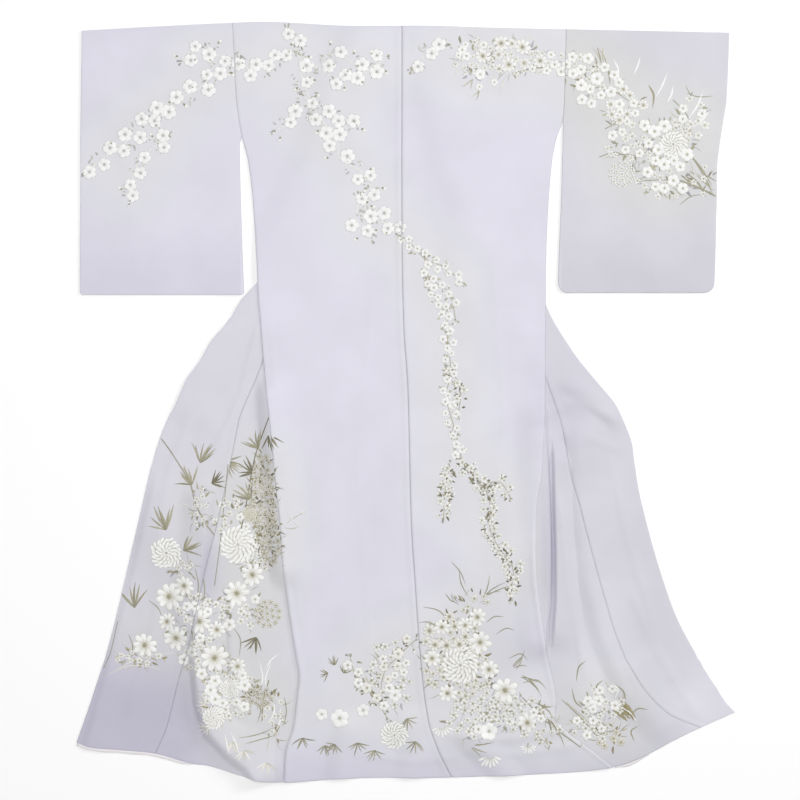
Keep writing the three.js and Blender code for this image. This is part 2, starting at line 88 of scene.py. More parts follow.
# Distances out at each section down. side: the back's side seam. lap: outer edge of the front's hidden
# part. fold: where the front turns back outwards. okumi: seam of the overlap panel. edge: its free edge.
LEFT = table("""
    down side lap fold okumi edge
    0 347 347 46 58 58
    36 345 345 62 76 76
    72 343 343 84 100 100
    120 341 341 98 124 124
    175 336 336 106 138 138
    227 327 327 112 151 152
    274 315 315 118 164 172
    356 305 305 128 190 208
    480 297 297 143 229 270
    527 295 295 148 244 297
    562 293 293 152 254 328
    604 289 289 157 266 354
    645 286 286 162 276 389
    686 283 283 167 284 413
    727 279 279 172 300 442
    777 274 274 177 322 464
    810 270 270 180 334 482
    861 265 265 183 344 501
    933 258 258 188 359 521
    1016 249 249 194 377 540
    1110 243 243 202 401 562
    1220 229 229 208 425 588
    1300 216 216 209 444 609
    1335 210 210 205 453 617
    1374 214 214 209 461 626
    1442 222 222 217 474 641
    1489 237 237 232 484 652
    1555 241 241 236 506 668
""")
RIGHT = table("""
    down side lap fold okumi edge
    0 340 340 46 58 58
    36 339 339 62 76 76
    72 338 338 84 100 100
    120 337 337 98 124 124
    190 333 333 108 140 140
    233 319 319 113 151 152
    274 311 311 118 162 170
    356 304 304 127 186 205
    480 298 298 144 224 256
    570 297 297 156 250 297
    604 297 297 160 261 313
    645 297 297 166 273 338
    686 297 297 173 285 366
    727 297 297 180 299 400
    777 296 297 188 317 441
    810 295 297 192 328 457
    851 293 299 198 337 474
    892 291 302 207 344 480
    933 288 305 217 352 486
    974 280 307 228 364 494
    1053 277 309 242 385 514
    1131 279 310 252 406 537
    1200 287 308 258 426 561
    1240 293 299 256 438 579
    1300 302 302 263 461 611
    1345 312 312 277 476 623
    1400 320 320 304 495 638
    1440 319 319 313 513 650
    1475 345 345 340 532 659
    1515 393 393 388 562 671
    1555 437 437 432 616 688
""")
SIDES = {-1: LEFT, 1: RIGHT}
# The centre-back seam wanders towards the wearer's right below the seat.
CENTRE = table("""
    down x, 0 2, 450 2, 624 6, 744 14, 1016 21, 1130 28, 1310 41, 1436 57, 1500 78, 1555 104
""")
HEM = table("""
    x down, -668 1473, -641 1483, -599 1487, -506 1496, -435 1516, -393 1522, -311 1547, -241 1555
    -105 1547, 104 1545, 348 1535, 437 1524, 472 1514, 513 1496, 554 1473, 616 1443, 688 1411
""")
SHOULDER = table("x down, -657 8, -517 0, -352 -8, -270 -10, -105 -2, 60 -2, 200 2, 348 5, 676 12")
# The collar's seam line from the back of the neck to the fronts.
NECK = table("out down, 0 14, 40 18, 76 36")
# Sleeves: the cuff and the loose inner edge at each distance down. corner: the lower corners' radius.
SLEEVES = {
    -1: dict(
        bottom=551, sewn_to=225, corner=7,
        edges=table("down cuff inner, 0 657 331, 240 660 332, 350 660 330, 440 661 327, 560 661 323"),
    ),
    1: dict(
        bottom=547, sewn_to=190, corner=20,
        edges=table("""
            down cuff inner, 0 676 333, 150 670 333, 190 664 334, 275 652 332, 350 650 330
            480 647 325, 560 644 323
        """),
    ),
}
# The largest folds: height, reach to the -x and +x side of the crest, and the crest line (x, down). In turn:
# hip fold and seam roll of the left front, drape and soft roll at the back's left edge, lip beside the right
# pleat, curl of the left edge, right pleat, roll of the right front, strain at the collar, waves of the hem.
FOLDS = typed("""
    18 18 75 -420 1215 -422 1300 -413 1392 -393 1452 -350 1497 -318 1522 -300 1545
    11 60 20 -398 980 -404 1060 -422 1150 -432 1230
    6 22 34 -348 1190 -347 1290 -336 1400
    13 30 60 -272 760 -264 860 -257 940 -250 1020 -244 1110
    9 6 60 316 900 318 985 321 1080 321 1180 316 1240
    3 15 60 -509 960 -546 1120 -590 1290 -640 1462
    10 70 11 294 800 300 960 303 1080 301 1180 296 1260
    8 40 70 368 860 376 1020 392 1140 424 1260 470 1370
    4 26 26 362 744 395 765 432 800
    8 60 90 470 1330 500 1390 540 1430
    6 40 40 150 1470 200 1520 230 1560
    5 45 45 20 1440 30 1500 20 1560
    5 40 45 -110 1450 -120 1505 -125 1560
""")
FOLD_FADE, CREASE_FADE, VALLEY_FADE = 55, 50, 60  # how far past their ends they run out
# Smaller creases: depth, half width and the line.
CREASES = typed("""
    1.6 9 292 800 360 770 425 800, 1.4 8 300 850 372 838 430 862, 1.5 10 430 900 470 1060 520 1230
    2.4 9 330 1000 345 1150 372 1300, 1.6 11 480 1180 530 1290 600 1400, 1.9 8 140 1430 220 1440 300 1425
    1.8 7 120 1460 210 1468 310 1452, 1.7 8 160 1492 240 1498 350 1480, 1.3 7 -60 1500 20 1512 90 1505
    1.6 8 -300 640 -330 760 -372 850, 1.4 11 -440 820 -480 930 -500 1080, 1.3 11 -500 1180 -520 1290 -560 1400
    0.8 8 -560 1300 -590 1380 -640 1450, 1.8 9 -250 1320 -300 1400 -330 1500
    0.6 8 -270 620 -240 900 -210 1200, 0.5 10 -640 60 -560 300 -540 540, 0.5 10 640 60 560 260 520 540
    0.5 10 -60 560 -90 900 -60 1300, 0.5 10 190 500 210 800 180 1100
""")
# Valleys between folds: depth, half width and the line.
VALLEYS = typed("""
    3 5 308 900 309 985 311 1060 312 1150 309 1210, 5 12 -318 800 -312 880 -306 980 -296 1080
""")


def along(t, key, value, x):
    """Smooth curve through a table's rows: the value of one column at x of another."""
    k, v = t[key], t[value]
    x = np.clip(np.asarray(x, float), k[0], k[-1])
    i = np.clip(np.searchsorted(k, x, side="left") - 1, 0, len(k) - 2)
    before, after = np.maximum(i - 1, 0), np.minimum(i + 2, len(k) - 1)
    span = k[i + 1] - k[i]
    s = (x - k[i]) / span
    m0 = (v[i + 1] - v[before]) / (k[i + 1] - k[before]) * span
    m1 = (v[after] - v[i]) / (k[after] - k[i]) * span
    start, end = v[i] * (2 * s**3 - 3 * s**2 + 1), v[i + 1] * (3 * s**2 - 2 * s**3)
    return start + m0 * (s**3 - 2 * s**2 + s) + end + m1 * (s**3 - s**2)


def curve(line, s=None):
    """A smooth curve through points (x, down): its points at given lengths, and its whole length."""
    line = np.reshape(line, (-1, 2))
    if s is None:
        s = np.concatenate([[0], np.cumsum(np.hypot(*np.diff(line, axis=0).T))])
    t = {"s": s, "x": line[:, 0], "down": line[:, 1]}
    return (lambda at: np.stack([along(t, "s", "x", at), along(t, "s", "down", at)], -1)), s[-1]


def normals(path):
    tangent = np.gradient(path, axis=0)
    tangent /= np.maximum(np.linalg.norm(tangent, axis=1, keepdims=True), 1e-9)
    return np.stack([-tangent[:, 1], tangent[:, 0]], -1)


def smooth(a, b, x):
    t = np.clip((np.asarray(x, float) - a) / (b - a), 0, 1)
    return t * t * (3 - 2 * t)


def mix(a, b, t):
    return a + (b - a) * t


def bell(across, wide):
    return np.exp(-((across / wide) ** 2))


def rounded(distance, reach):
    """How far an edge is turned down, from 1 at the edge to 0 at the reach."""
    return 1 - np.sqrt(1 - (1 - np.minimum(distance / reach, 1)) ** 2)


def by_side(x, column, row):
    return np.where(x < 0, *(along(SIDES[sign], "down", column, row) for sign in (-1, 1)))


def down_at(row, x, hem_x):
    """How far down a point of a row lies, when its column meets the hem at hem_x."""
    slant = along(SHOULDER, "x", "down", x) * np.maximum(0, 1 - row / SHOULDER_FADE)
    hem = along(HEM, "x", "down", hem_x)
    bent = HEM_START + (row - HEM_START) * (hem - HEM_START) / (LENGTH - HEM_START)
    return np.where(row <= HEM_START, row + slant, bent)


def beside_line(line, x, y):
    """Signed distance to a polyline, + on its east or outer side, and how far past its ends."""
    line = np.reshape(line, (-1, 2))
    best, across, past = np.full(np.shape(x), np.inf), np.zeros(np.shape(x)), np.zeros(np.shape(x))
    for i in range(len(line) - 1):
        (ax, ay), (bx, by) = line[i], line[i + 1]
        dx, dy = bx - ax, by - ay
        length = math.hypot(dx, dy)
        t = ((x - ax) * dx + (y - ay) * dy) / length
        near = np.clip(t, 0, length)
        distance = np.hypot(x - ax - dx * near / length, y - ay - dy * near / length)
        over = np.where(t < 0, -t, 0) if i == 0 else np.zeros(np.shape(x))
        if i == len(line) - 2:
            over = np.where(t > length, t - length, over)
        side = ((x - ax) * dy - (y - ay) * dx) / length
        closer = distance < best
        across = np.where(closer, np.where(over > 0, side, np.sign(side) * distance), across)
        past = np.where(closer, over, past)
        best = np.where(closer, distance, best)
    return across, past


def collar_line(sign):
    rows = np.arange(90, COLLAR_END + 1, 45)
    edge = along(SIDES[sign], "down", "edge", rows) - 1.5
    return list(zip(NECK["out"], NECK["down"])) + list(zip(edge, rows))


COLLAR_LINES = {sign: collar_line(sign) for sign in SIDES}


def ground(x, down):
    """Lift of the cloth over the floor from folds, creases and the collar band underneath."""
    lift = np.zeros(np.shape(x))
    for high, west, east, *crest in FOLDS:
        across, past = beside_line(crest, x, down)
        u = np.minimum(np.abs(across) / np.where(across > 0, east, west), 1)
        lift = np.maximum(lift, high * (1 - u * u) ** 2 * (1 - smooth(0, FOLD_FADE, past)))
    for way, fade, group in (1, CREASE_FADE, CREASES), (-1, VALLEY_FADE, VALLEYS):
        for high, wide, *line in group:
            across, past = beside_line(line, x, down)
            lift = lift + way * high * bell(across, wide) * (1 - smooth(0, fade, past))
    lift = np.maximum(lift, 0)
    swell = 1 + np.sin(x / 47 + down / 131 + 0.6) * np.sin(down / 73 - x / 160)
    lift = lift + 0.4 + 0.35 * swell
    cover, band = np.zeros(np.shape(x)), COLLAR_WIDE + 3
    for sign, line in COLLAR_LINES.items():
        across, past = beside_line(line, np.abs(x), down)
        one = 1 - smooth(CLEAR, CLEAR + COLLAR_RAMP, across)
        one = one * (1 - smooth(band, band + COLLAR_RAMP, -across))
        one = one * np.where(down > COLLAR_END, 1 - smooth(3, COLLAR_RAMP, past), 1)
        cover = np.where(np.sign(x + 1e-6) == sign, one, cover)
    return lift + COLLAR_LIFT * cover


def hidden_cover(x, row):
    """From 0 under the back alone to 1 over the front's shown part."""
    return smooth(0, 1, (np.abs(x) - by_side(x, "fold", row) + STEP_START + STEP_RAMP) / STEP_RAMP)


def outer_cover(x, row):
    past = np.abs(x) - by_side(x, "edge", row) - CLEAR
    return hidden_cover(x, row) * (1 - smooth(0, 1, past / COLLAR_RAMP))


def outer_height(x, down, row):
    return HALF + ground(x, down)


def hidden_height(x, down, row):
    return outer_height(x, down, row) + PITCH * outer_cover(x, row)


def back_height(x, down, row):
    return hidden_height(x, down, row) + PITCH * hidden_cover(x, row)


def to_frame(points):
    """Garment millimetres (x, down, up) to the frame's metres."""
    points = np.asarray(points, float)
    return np.stack([points[..., 0] - ORIGIN_X, ORIGIN_DOWN - points[..., 1], points[..., 2]], -1) / 1000


def place(x, hem_x, row, height, drop=0):
    """Points of a cloth at its height less a drop, but never in the floor."""
    down = down_at(row, x, hem_x)
    return np.stack([x, down, np.maximum(height(x, down, row) - drop, HALF)], -1)


def columns(a, b, middle):
    """Outs from a to b for every row, closer beside both ends, and their distances from a and from b."""
    width = np.abs(b - a)
    ends = np.array(EDGE_CELLS)
    shrink = np.minimum(1, width / (2.6 * ends[-1]))[:, None]
    near = ends[None, :] * shrink
    inner = mix(near[:, -1:], width[:, None] - near[:, -1:], np.linspace(0, 1, middle + 1)[None, 1:-1])
    offsets = np.concatenate([near, inner, width[:, None] - near[:, ::-1]], 1)
    share = offsets / np.maximum(width, 1e-6)[:, None]
    return mix(a[:, None], b[:, None], share), offsets, width[:, None] - offsets


def seam_groove(distance, deep=0.55, wide=2.6):
    """How far cloth dips where it turns into a seam."""
    return deep * bell(distance, wide)


def pucker(distance, down, wave, high=0.22):
    """Small waves beside a seam."""
    return high * np.sin(down / wave * 2 * math.pi) * np.exp(-distance / 14)


def body_rows(first):
    """Rows down a panel, closer together at the hem."""
    bent = np.linspace(HEM_START, LENGTH - 10, HEM_ROWS)
    last = LENGTH - np.array(EDGE_CELLS[::-1])
    return np.concatenate([[first + 1e-6], np.arange(first + CELL, HEM_START, CELL), bent, last])


END, START = np.array([float(LENGTH)]), np.array([0.0])


def spread(row, out):
    """A row's value at each of its columns."""
    return np.repeat(row[:, None], out.shape[1], 1)


def to_rows(hem, rows):
    """The hem's places once for each row."""
    return np.repeat(hem, len(rows), 0)


def half_turn(lower, upper, bulge):
    """Grids between two layers, round a fold that bulges along one direction."""
    middle = (lower + upper) / 2
    radius = np.linalg.norm(lower - upper, axis=-1, keepdims=True) / 2
    angles = [math.pi * i / FOLD_STEPS for i in range(1, FOLD_STEPS)]
    return [middle + (lower - middle) * math.cos(a) + np.array(bulge) * radius * math.sin(a) for a in angles]


def add(name, data):
    obj = bpy.data.objects.new(name, data)
    bpy.context.collection.objects.link(obj)
    return obj


def add_mesh(name, points, faces):
    mesh = bpy.data.meshes.new(name)
    mesh.from_pydata(points, [], faces)
    mesh.polygons.foreach_set("use_smooth", [True] * len(mesh.polygons))
    return add(name, mesh)


def wall(name, grid, thick=WALL):
    """A closed shell of even thickness round a grid of middle points in garment millimetres."""
    grid = to_frame(grid)
    rows, cols = grid.shape[:2]
    pad = np.pad(grid, ((1, 1), (1, 1), (0, 0)), mode="edge")
    normal = np.cross(pad[1:-1, 2:] - pad[1:-1, :-2], pad[2:, 1:-1] - pad[:-2, 1:-1])
    normal /= np.maximum(np.linalg.norm(normal, axis=-1, keepdims=True), 1e-12)
    if normal[rows // 2, :, 2].sum() < 0:
        normal = -normal
    half = thick / 2000
    points = np.concatenate([grid + normal * half, grid - normal * half]).reshape(-1, 3)
    ids = np.arange(rows * cols).reshape(rows, cols)
    low = ids + rows * cols
    top = np.stack([ids[:-1, :-1], ids[:-1, 1:], ids[1:, 1:], ids[1:, :-1]], -1).reshape(-1, 4)
    under = top[:, [0, 3, 2, 1]] + rows * cols
    rim = []
    for border in (np.s_[:, 0], np.s_[-1], np.s_[::-1, -1], np.s_[0, ::-1]):
        up, dn = ids[border], low[border]
        rim.append(np.stack([up[:-1], up[1:], dn[1:], dn[:-1]], -1))
    faces = np.concatenate([top, under] + rim)
    a, b, c, d = points[faces].transpose(1, 0, 2)
    if sum(np.einsum("ij,ij->i", a, np.cross(*edge)) for edge in ((b, c), (c, d))).sum() < 0:
        faces = faces[:, ::-1]
    obj = add_mesh(name, points.tolist(), faces.tolist())
    obj["columns"] = cols
    return obj


def back_panel(name, sign):
    side = SIDES[sign]

    def outs(row):
        centre = sign * along(CENTRE, "down", "x", row) + SEAM_GAP
        return columns(along(side, "down", "side", row), centre, BACK_COLUMNS)

    rows = body_rows(9)
    out, from_side, from_centre = outs(rows)
    hem = sign * outs(END)[0]
    row = spread(rows, out)
    below_sleeve = smooth(180, 260, row)
    drop = seam_groove(from_centre, 1.0, 1.8) + seam_groove(from_side, 0.7) * (1 - below_sleeve)
    # The turned-in edges lift the cloth beside the seams, and the free side edge turns down.
    drop = drop - (1.1 if sign < 0 else 0.5) * (1 - smooth(7, 14, from_centre))
    drop = drop - 1.6 * smooth(950, 1150, row) * smooth(0.5, 4, from_side) * (1 - smooth(5, 15, from_side))
    drop = drop + below_sleeve * 1.3 * rounded(from_side, 5)
    drop = drop - pucker(from_side, row, 31) - pucker(from_centre, row, 38, 0.15)
    drop = drop + 0.8 * rounded(LENGTH - row, HEM_ROUND)
    flat = place(sign * out, to_rows(hem, rows), row, back_height, drop)
    px = sign * outs(START)[0]
    top = place(px, hem, np.zeros_like(px), back_height)
    top[..., 1] += (top[..., 2] - HALF) / 2
    under = top.copy()
    under[..., 2] = HALF
    lip = under + np.array([0, 8, 0])
    return wall(name, np.concatenate([lip, under] + half_turn(under, top, (0, -1, 0)) + [top, flat]))


def front_panel(name, sign):
    side = SIDES[sign]
    rows = body_rows(12)

    def outs(row):
        lap, fold = along(side, "down", "lap", row), along(side, "down", "fold", row)
        seam = along(side, "down", "okumi", row) - SEAM_GAP
        return columns(lap, fold, HIDDEN_COLUMNS), columns(fold, seam, FRONT_COLUMNS)

    (hidden, lap_near, _), (shown, _, seam_near) = outs(rows)
    (hem_hidden, _, _), (hem_shown, _, _) = outs(END)
    hem_drop = 0.8 * rounded(LENGTH - rows[:, None], HEM_ROUND)

    def layer(out, hem, height, drop):
        return place(sign * out, to_rows(sign * hem, rows), spread(rows, out), height, drop)

    upper = layer(hidden, hem_hidden, hidden_height, -0.3 * np.exp(-lap_near / 4) + hem_drop)
    seam_drop = seam_groove(seam_near, 0.35, 2) + hem_drop - pucker(seam_near, rows[:, None], 33)
    lower = layer(shown, hem_shown, outer_height, seam_drop)
    turns = half_turn(upper[:, -1:], lower[:, :1], (-sign, 0, 0))
    return wall(name, np.concatenate([upper] + turns + [lower], 1))


def okumi_panel(name, sign):
    side = SIDES[sign]
    rows = body_rows(OKUMI_TIP)

    def lines(row):
        return along(side, "down", "okumi", row) + SEAM_GAP, along(side, "down", "edge", row)

    seam, edge = lines(rows)
    out, seam_near, edge_near = columns(seam, np.maximum(edge, seam + 0.4), OKUMI_COLUMNS)
    hem = columns(*lines(END), OKUMI_COLUMNS)[0]
    row = spread(rows, out)
    drop = seam_groove(seam_near, 0.35, 2) + 0.4 * rounded(edge_near, 4)
    drop = drop - 0.4 * (1 - smooth(9, 13, seam_near)) * smooth(0.5, 2.5, seam_near)
    drop = drop - pucker(edge_near, row, 41)
    drop = drop + 0.4 * rounded(LENGTH - row, HEM_ROUND)
    return wall(name, place(sign * out, to_rows(sign * hem, rows), row, outer_height, drop))


def sleeve(name, sign):
    bottom, sewn_to, corner, edges = SLEEVES[sign].values()
    straight = np.concatenate([[10], np.arange(16, bottom - corner - 2, CELL)])
    downs = np.concatenate([straight, bottom - corner * (1 - np.sin(np.linspace(0, math.pi / 2, 9)))])

    def outs(down):
        rise = np.maximum(0, down - (bottom - corner))
        inset = corner - np.sqrt(np.maximum(corner**2 - rise**2, 0))
        sewn = along(SIDES[sign], "down", "side", down) + 2 * SEAM_GAP
        inner = mix(sewn, along(edges, "down", "inner", down), smooth(sewn_to, sewn_to + 12, down)) + inset
        return columns(inner, along(edges, "down", "cuff", down) - inset, SLEEVE_COLUMNS)

    out, inner_near, cuff_near = outs(downs)
    x = sign * out
    row = spread(downs, out)
    down = down_at(row, x, x)
    turned = rounded(np.minimum(np.minimum(inner_near, cuff_near), np.maximum(bottom - row, 0)), 5)
    waves = 0.5 * ground(x, down) + pucker(np.minimum(inner_near, cuff_near), row, 36)
    lower = np.stack([x, down, HALF + 0.4 * turned + 0 * x], -1)
    upper = np.stack([x, down, HALF + PITCH - 0.5 * turned + waves], -1)
    px = sign * outs(START)[0]
    fold_down = down_at(0 * px, px, px) + PITCH / 2
    fold_low = np.stack([px, fold_down, HALF + 0 * px], -1)
    fold_high = np.stack([px, fold_down, HALF + PITCH + 0 * px], -1)
    turns = half_turn(fold_low, fold_high, (0, -1, 0))
    return wall(name, np.concatenate([lower[::-1], fold_low] + turns + [fold_high, upper]))


def collar_band(name):
    """The band folded double: its two cloths turn round a fold along the inner side."""
    left = [(-out, down) for out, down in COLLAR_LINES[-1]][::-1]
    at, length = curve(left + list(COLLAR_LINES[1][1:]))
    path = at(np.linspace(0, length, COLLAR_ROWS))
    inward = normals(path)
    cloth, low, high = 0.7, 0.5, 1.5
    middle = (low + high) / 2
    turn = COLLAR_WIDE - (high - low) / 2
    angles = np.linspace(0, math.pi, 7)[1:-1]
    section = [(0, low), (1.5, low)] + [(d, low) for d in np.linspace(8, turn, 7)]
    thick = high - low
    section += [(turn + math.sin(a) * thick / 2, middle - math.cos(a) * thick / 2) for a in angles]
    section += [(d, high) for d in np.linspace(turn, 8, 7)] + [(1.5, high), (0, high)]
    grid = np.array([[(*(p + n * d), z) for d, z in section] for p, n in zip(path, inward)])
    return wall(name, grid, cloth)


def hem_roll(name, start, end):
    """The pale lining that rolls out past the hem."""
    x = np.linspace(start, end, round((end - start) / 5))
    hem = along(HEM, "x", "down", x) + 0.5
    inner = np.minimum(np.abs(x - start), np.abs(x - end)) if start > 0 else np.abs(x - end)
    wide = 5.4 * (0.2 + 0.8 * smooth(0, 30, inner)) * (1 + 0.12 * np.sin(x / 9))
    grid = []
    for a in np.linspace(0, math.pi, 7):
        out = hem + wide * (1 - math.cos(a)) / 2
        grid.append(np.stack([x, out, HALF + ground(x, hem) * 0.9 + 0.9 * math.sin(a)], -1))
    return wall(name, np.stack(grid, 1), 0.8)


# ---------------------------------------------------------------- the garment
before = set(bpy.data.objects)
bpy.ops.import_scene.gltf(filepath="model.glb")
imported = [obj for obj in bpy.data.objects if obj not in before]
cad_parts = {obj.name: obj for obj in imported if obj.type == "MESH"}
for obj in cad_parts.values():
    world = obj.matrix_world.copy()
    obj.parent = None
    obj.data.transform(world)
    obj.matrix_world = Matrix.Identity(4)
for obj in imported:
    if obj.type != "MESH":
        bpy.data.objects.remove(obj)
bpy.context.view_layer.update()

PAIRS = {"back": back_panel, "front": front_panel, "okumi": okumi_panel, "sleeve": sleeve}
panels = {
    f"{kind}_{hand}": panel(f"{kind}_{hand}_silk", sign)
    for kind, panel in PAIRS.items()
    for hand, sign in (("left", -1), ("right", 1))
}
panels["collar"] = collar_band("collar_silk")
panels["hem_roll_left"] = hem_roll("hem_roll_left_silk", -667, -430)
panels["hem_roll_right"] = hem_roll("hem_roll_right_silk", 440, 512)

for node, obj in panels.items():
    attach(obj, "root")
    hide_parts(node)


# ---------------------------------------------------------------- embroidery
# Petals and leaves: stations along their spine and the half width at each
STATIONS = np.array([0, 0.16, 0.42, 0.7, 0.9, 1])
PROFILES = table("""
    round strap lance stem, 0.22 0.35 0.14 1, 0.66 0.7 0.66 1, 1 0.95 1 1, 0.98 1 0.72 1, 0.62 0.7 0.3 1
    0.14 0.2 0.04 0.8
""")
# Points across a stitched area, and how high each stands of its whole rise
ACROSS, SWELL = (-1, -0.66, 0, 0.66, 1), (-0.1, 0.72, 1, 0.72, -0.1)
PLAIN = (None, "collar", "hem_roll_left", "hem_roll_right")  # nothing is stitched here
chance = random.Random(7)
between = chance.uniform
WHOLE, QUARTER = 6.28, 1.57  # turns in radians, for directions by chance
RING, FIFTH, SEVENTH = 6.283, 1.257, 0.898  # turns in radians, for petals in a ring
HALVINGS = 5  # steps in the search for a panel's border
TRIES = 40  # for each flower of a bed, before it is left out


def surface(objects):
    """The garment's surface as a tree of faces, and the panel of each face."""
    points, faces, owners = [], [], []
    for name, obj in objects.items():
        base = len(points)
        points += [v.co.copy() for v in obj.data.vertices]
        faces += [[base + i for i in p.vertices] for p in obj.data.polygons]
        owners += [name] * len(obj.data.polygons)
    return BVHTree.FromPolygons(points, faces), owners


TREE, OWNERS = surface(panels)
work, spots = {}, []  # the stitches of each panel, and the flowers' places


def seen_at(x, down):
    """The panel that shows at a place from above, and its height."""
    over = Vector(((x - ORIGIN_X) / 1000, (ORIGIN_DOWN - down) / 1000, 0.1))
    hit, _, face, _ = TREE.ray_cast(over, Vector((0, 0, -1)))
    return (None, 0) if hit is None else (OWNERS[face], hit.z * 1000)


def settle(owner, x, down, middle):
    """Moves a point that lies off its panel back to the panel's border."""
    name, up = seen_at(x, down)
    if name == owner:
        return x, down, up
    inside, outside, found = 0.0, 1.0, None
    for _ in range(HALVINGS):
        share = (inside + outside) / 2
        px, pd = mix(middle[0], x, share), mix(middle[1], down, share)
        name, up = seen_at(px, pd)
        if name == owner:
            inside, found = share, (px, pd, up)
        else:
            outside = share
    return found or (*middle, seen_at(*middle)[1])


def blade(spine, half, rise, edge, body, root=0.2):
    """A raised area along a spine: 5 points across at each station, with its rim sunk into the cloth.

    Its rim has the edge's colour. Its middle goes over to the body's, from the share root at its start.
    """
    centre = spine[len(spine) // 2]
    owner, _ = seen_at(*centre)
    if owner in PLAIN:
        return
    points, faces, colours, threads = work.setdefault(owner, ([], [], [], []))
    normal = normals(spine)
    base, k = len(points), len(spine)
    for i in range(k):
        fade = min(1, 0.35 + min(i, k - 1 - i))
        for j in range(5):
            x, down = spine[i] + normal[i] * half[i] * ACROSS[j]
            x, down, up = settle(owner, x, down, centre)
            points.append((x, down, up + rise * (SWELL[j] if SWELL[j] < 0 else SWELL[j] * fade)))
            at_rim = j in (0, 4) or i in (0, k - 1)
            colours.append(edge if at_rim else mix(edge, body, min(1, root + 0.33 * i)))
            threads.append((i * 4.0, half[i] * ACROSS[j]))
    for i in range(k - 1):
        a, b = base + 5 * i, base + 5 * (i + 1)
        faces += [(a + j, a + j + 1, b + j + 1, b + j) for j in range(4)]


def petal(
    x, down, turn, start, end, half, profile="round", rise=0.6, edge=KHAKI, body=WHITE, bend=0.0, root=0.2
):
    """A petal or leaf from start to end, measured from a centre along a direction, that may bend."""
    angle = turn + bend * STATIONS
    reach = start + (end - start) * STATIONS
    spine = np.stack([x + reach * np.cos(angle), down + reach * np.sin(angle)], -1)
    blade(spine, half * PROFILES[profile], rise, edge, body, root)


def dot(x, down, r, colour):
    petal(x, down, between(0, WHOLE), -r, r, r, "round", 0.5, colour * 0.8, colour)


def stem(line, half=0.9, colour=OLIVE):
    """A stem along given points, in short stitches."""
    at, length = curve(line)
    for start in np.arange(0, length, 11):
        s = np.linspace(start, min(start + 12, length), 3)
        blade(at(s), [half] * 3, 0.45, colour * 0.85, colour)


def curl(line, half=1.3, colour=OLIVE):
    """A long tapering blade along given points."""
    points = len(line) // 2
    at, last = curve(line, np.arange(points))
    s = np.linspace(0, last, 4 * points)
    blade(at(s), half * np.sin(np.linspace(0.25, math.pi - 0.08, len(s))), 0.5, colour * 0.8, colour)


def free(x, down, r, tight):
    return all((x - a) ** 2 + (down - b) ** 2 >= (tight * (r + c)) ** 2 for a, b, c in spots)


def around(x, down, reach, angle):
    return x + reach * math.cos(angle), down + reach * math.sin(angle)


def plum(x, down, r, edge=SHADE, body=WHITE, heart=KHAKI):
    """Five broad petals that overlap, round a heart with stamens."""
    turn = between(0, WHOLE)
    for i in range(5):
        rise, tone = 0.7 + 0.12 * (i % 2), body * between(0.93, 1)
        petal(x, down, turn + i * FIFTH, 0.08 * r, r, 0.54 * r, "round", rise, edge, tone, 0, 0.55)
    dot(x, down, 0.11 * r, heart)
    for i in range(7):
        a, reach = turn + i * SEVENTH, r * between(0.26, 0.4)
        petal(x, down, a, 0.1 * r, reach, 0.35, "stem", 1.0, heart, heart)
        dot(*around(x, down, reach, a), 0.045 * r + 0.3, WHITE)


def daisy(x, down, r, petals=8, edge=KHAKI, body=WHITE, heart=OLIVE):
    """An open flower of broad notched petals round a stitched heart."""
    turn = between(0, WHOLE)
    for i in range(petals):
        a = turn + i * RING / petals + between(-0.08, 0.08)
        reach, form = r * between(0.85, 1.05), "strap" if i % 3 else "round"
        petal(x, down, a, 0.12 * r, reach, 2.1 * r / petals, form, 0.7, edge, body * between(0.92, 1))
        petal(x, down, a, 0.16 * r, 0.5 * reach, 0.3, "stem", 1.05, edge, edge)
    dot(x, down, 0.14 * r, heart)
    for i in range(7):
        dot(*around(x, down, 0.2 * r, i * 0.9 + turn), 0.04 * r + 0.3, GOLD)


def mum(x, down, r, edge=OLIVE, body=WHITE):
    """A chrysanthemum: four rings of narrow petals that all curl one way."""
    rings = (0.6, 1, 20), (0.36, 0.76, 16), (0.15, 0.52, 11), (0.02, 0.28, 6)
    for ring, (inner, outer, count) in enumerate(rings):
        for i in range(count):
            a, reach = i / count * RING + ring * 0.2, outer * r * between(0.86, 1.06)
            petal(x, down, a, inner * r, reach, 0.098 * r, "round", 0.6 + 0.25 * ring, edge, body, 0.5)


def ball(x, down, r, edge=OLIVE, body=WHITE, heart=DARK):
    """A round head of tiny four-petalled florets."""
    for ring, count in ((0, 1), (0.42, 6), (0.82, 12)):
        for i in range(count):
            floret = around(x, down, ring * r, i * RING / count + ring)
            t = between(0, QUARTER)
            for k in range(4):
                petal(*floret, t + k * 1.571, 0.2, 0.21 * r, 0.09 * r, "round", 0.6 + ring / 2, edge, body)
            dot(*floret, 0.05 * r, heart)


def star(x, down, r, edge=KHAKI, body=WHITE, heart=OLIVE):
    """A small flower of five pointed petals."""
    turn = between(0, WHOLE)
    for i in range(5):
        reach, tone = r * between(0.85, 1.1), body * between(0.85, 1)
        petal(x, down, turn + i * FIFTH, 0.1 * r, reach, 0.42 * r, "round", 0.55, edge, tone)
    dot(x, down, 0.17 * r, heart)


def bud(x, down, r, turn, edge=KHAKI, body=WHITE):
    petal(x, down, turn, 0, 2 * r, r, "round", 0.7, edge, body)
    petal(x, down, turn, -0.6 * r, 0.7 * r, 0.6 * r, "lance", 0.9, DARK, OLIVE)


def half_flower(x, down, r, turn, petals=7):
    """A flower seen from the side: petals spread like a fan."""
    for i in range(petals):
        a, reach = turn + (i / (petals - 1) - 0.5) * 2.5, r * between(0.85, 1.05)
        petal(x, down, a, 0.2 * r, reach, 0.1 * r, "strap", 0.7, SHADE, WHITE, between(-0.15, 0.15))


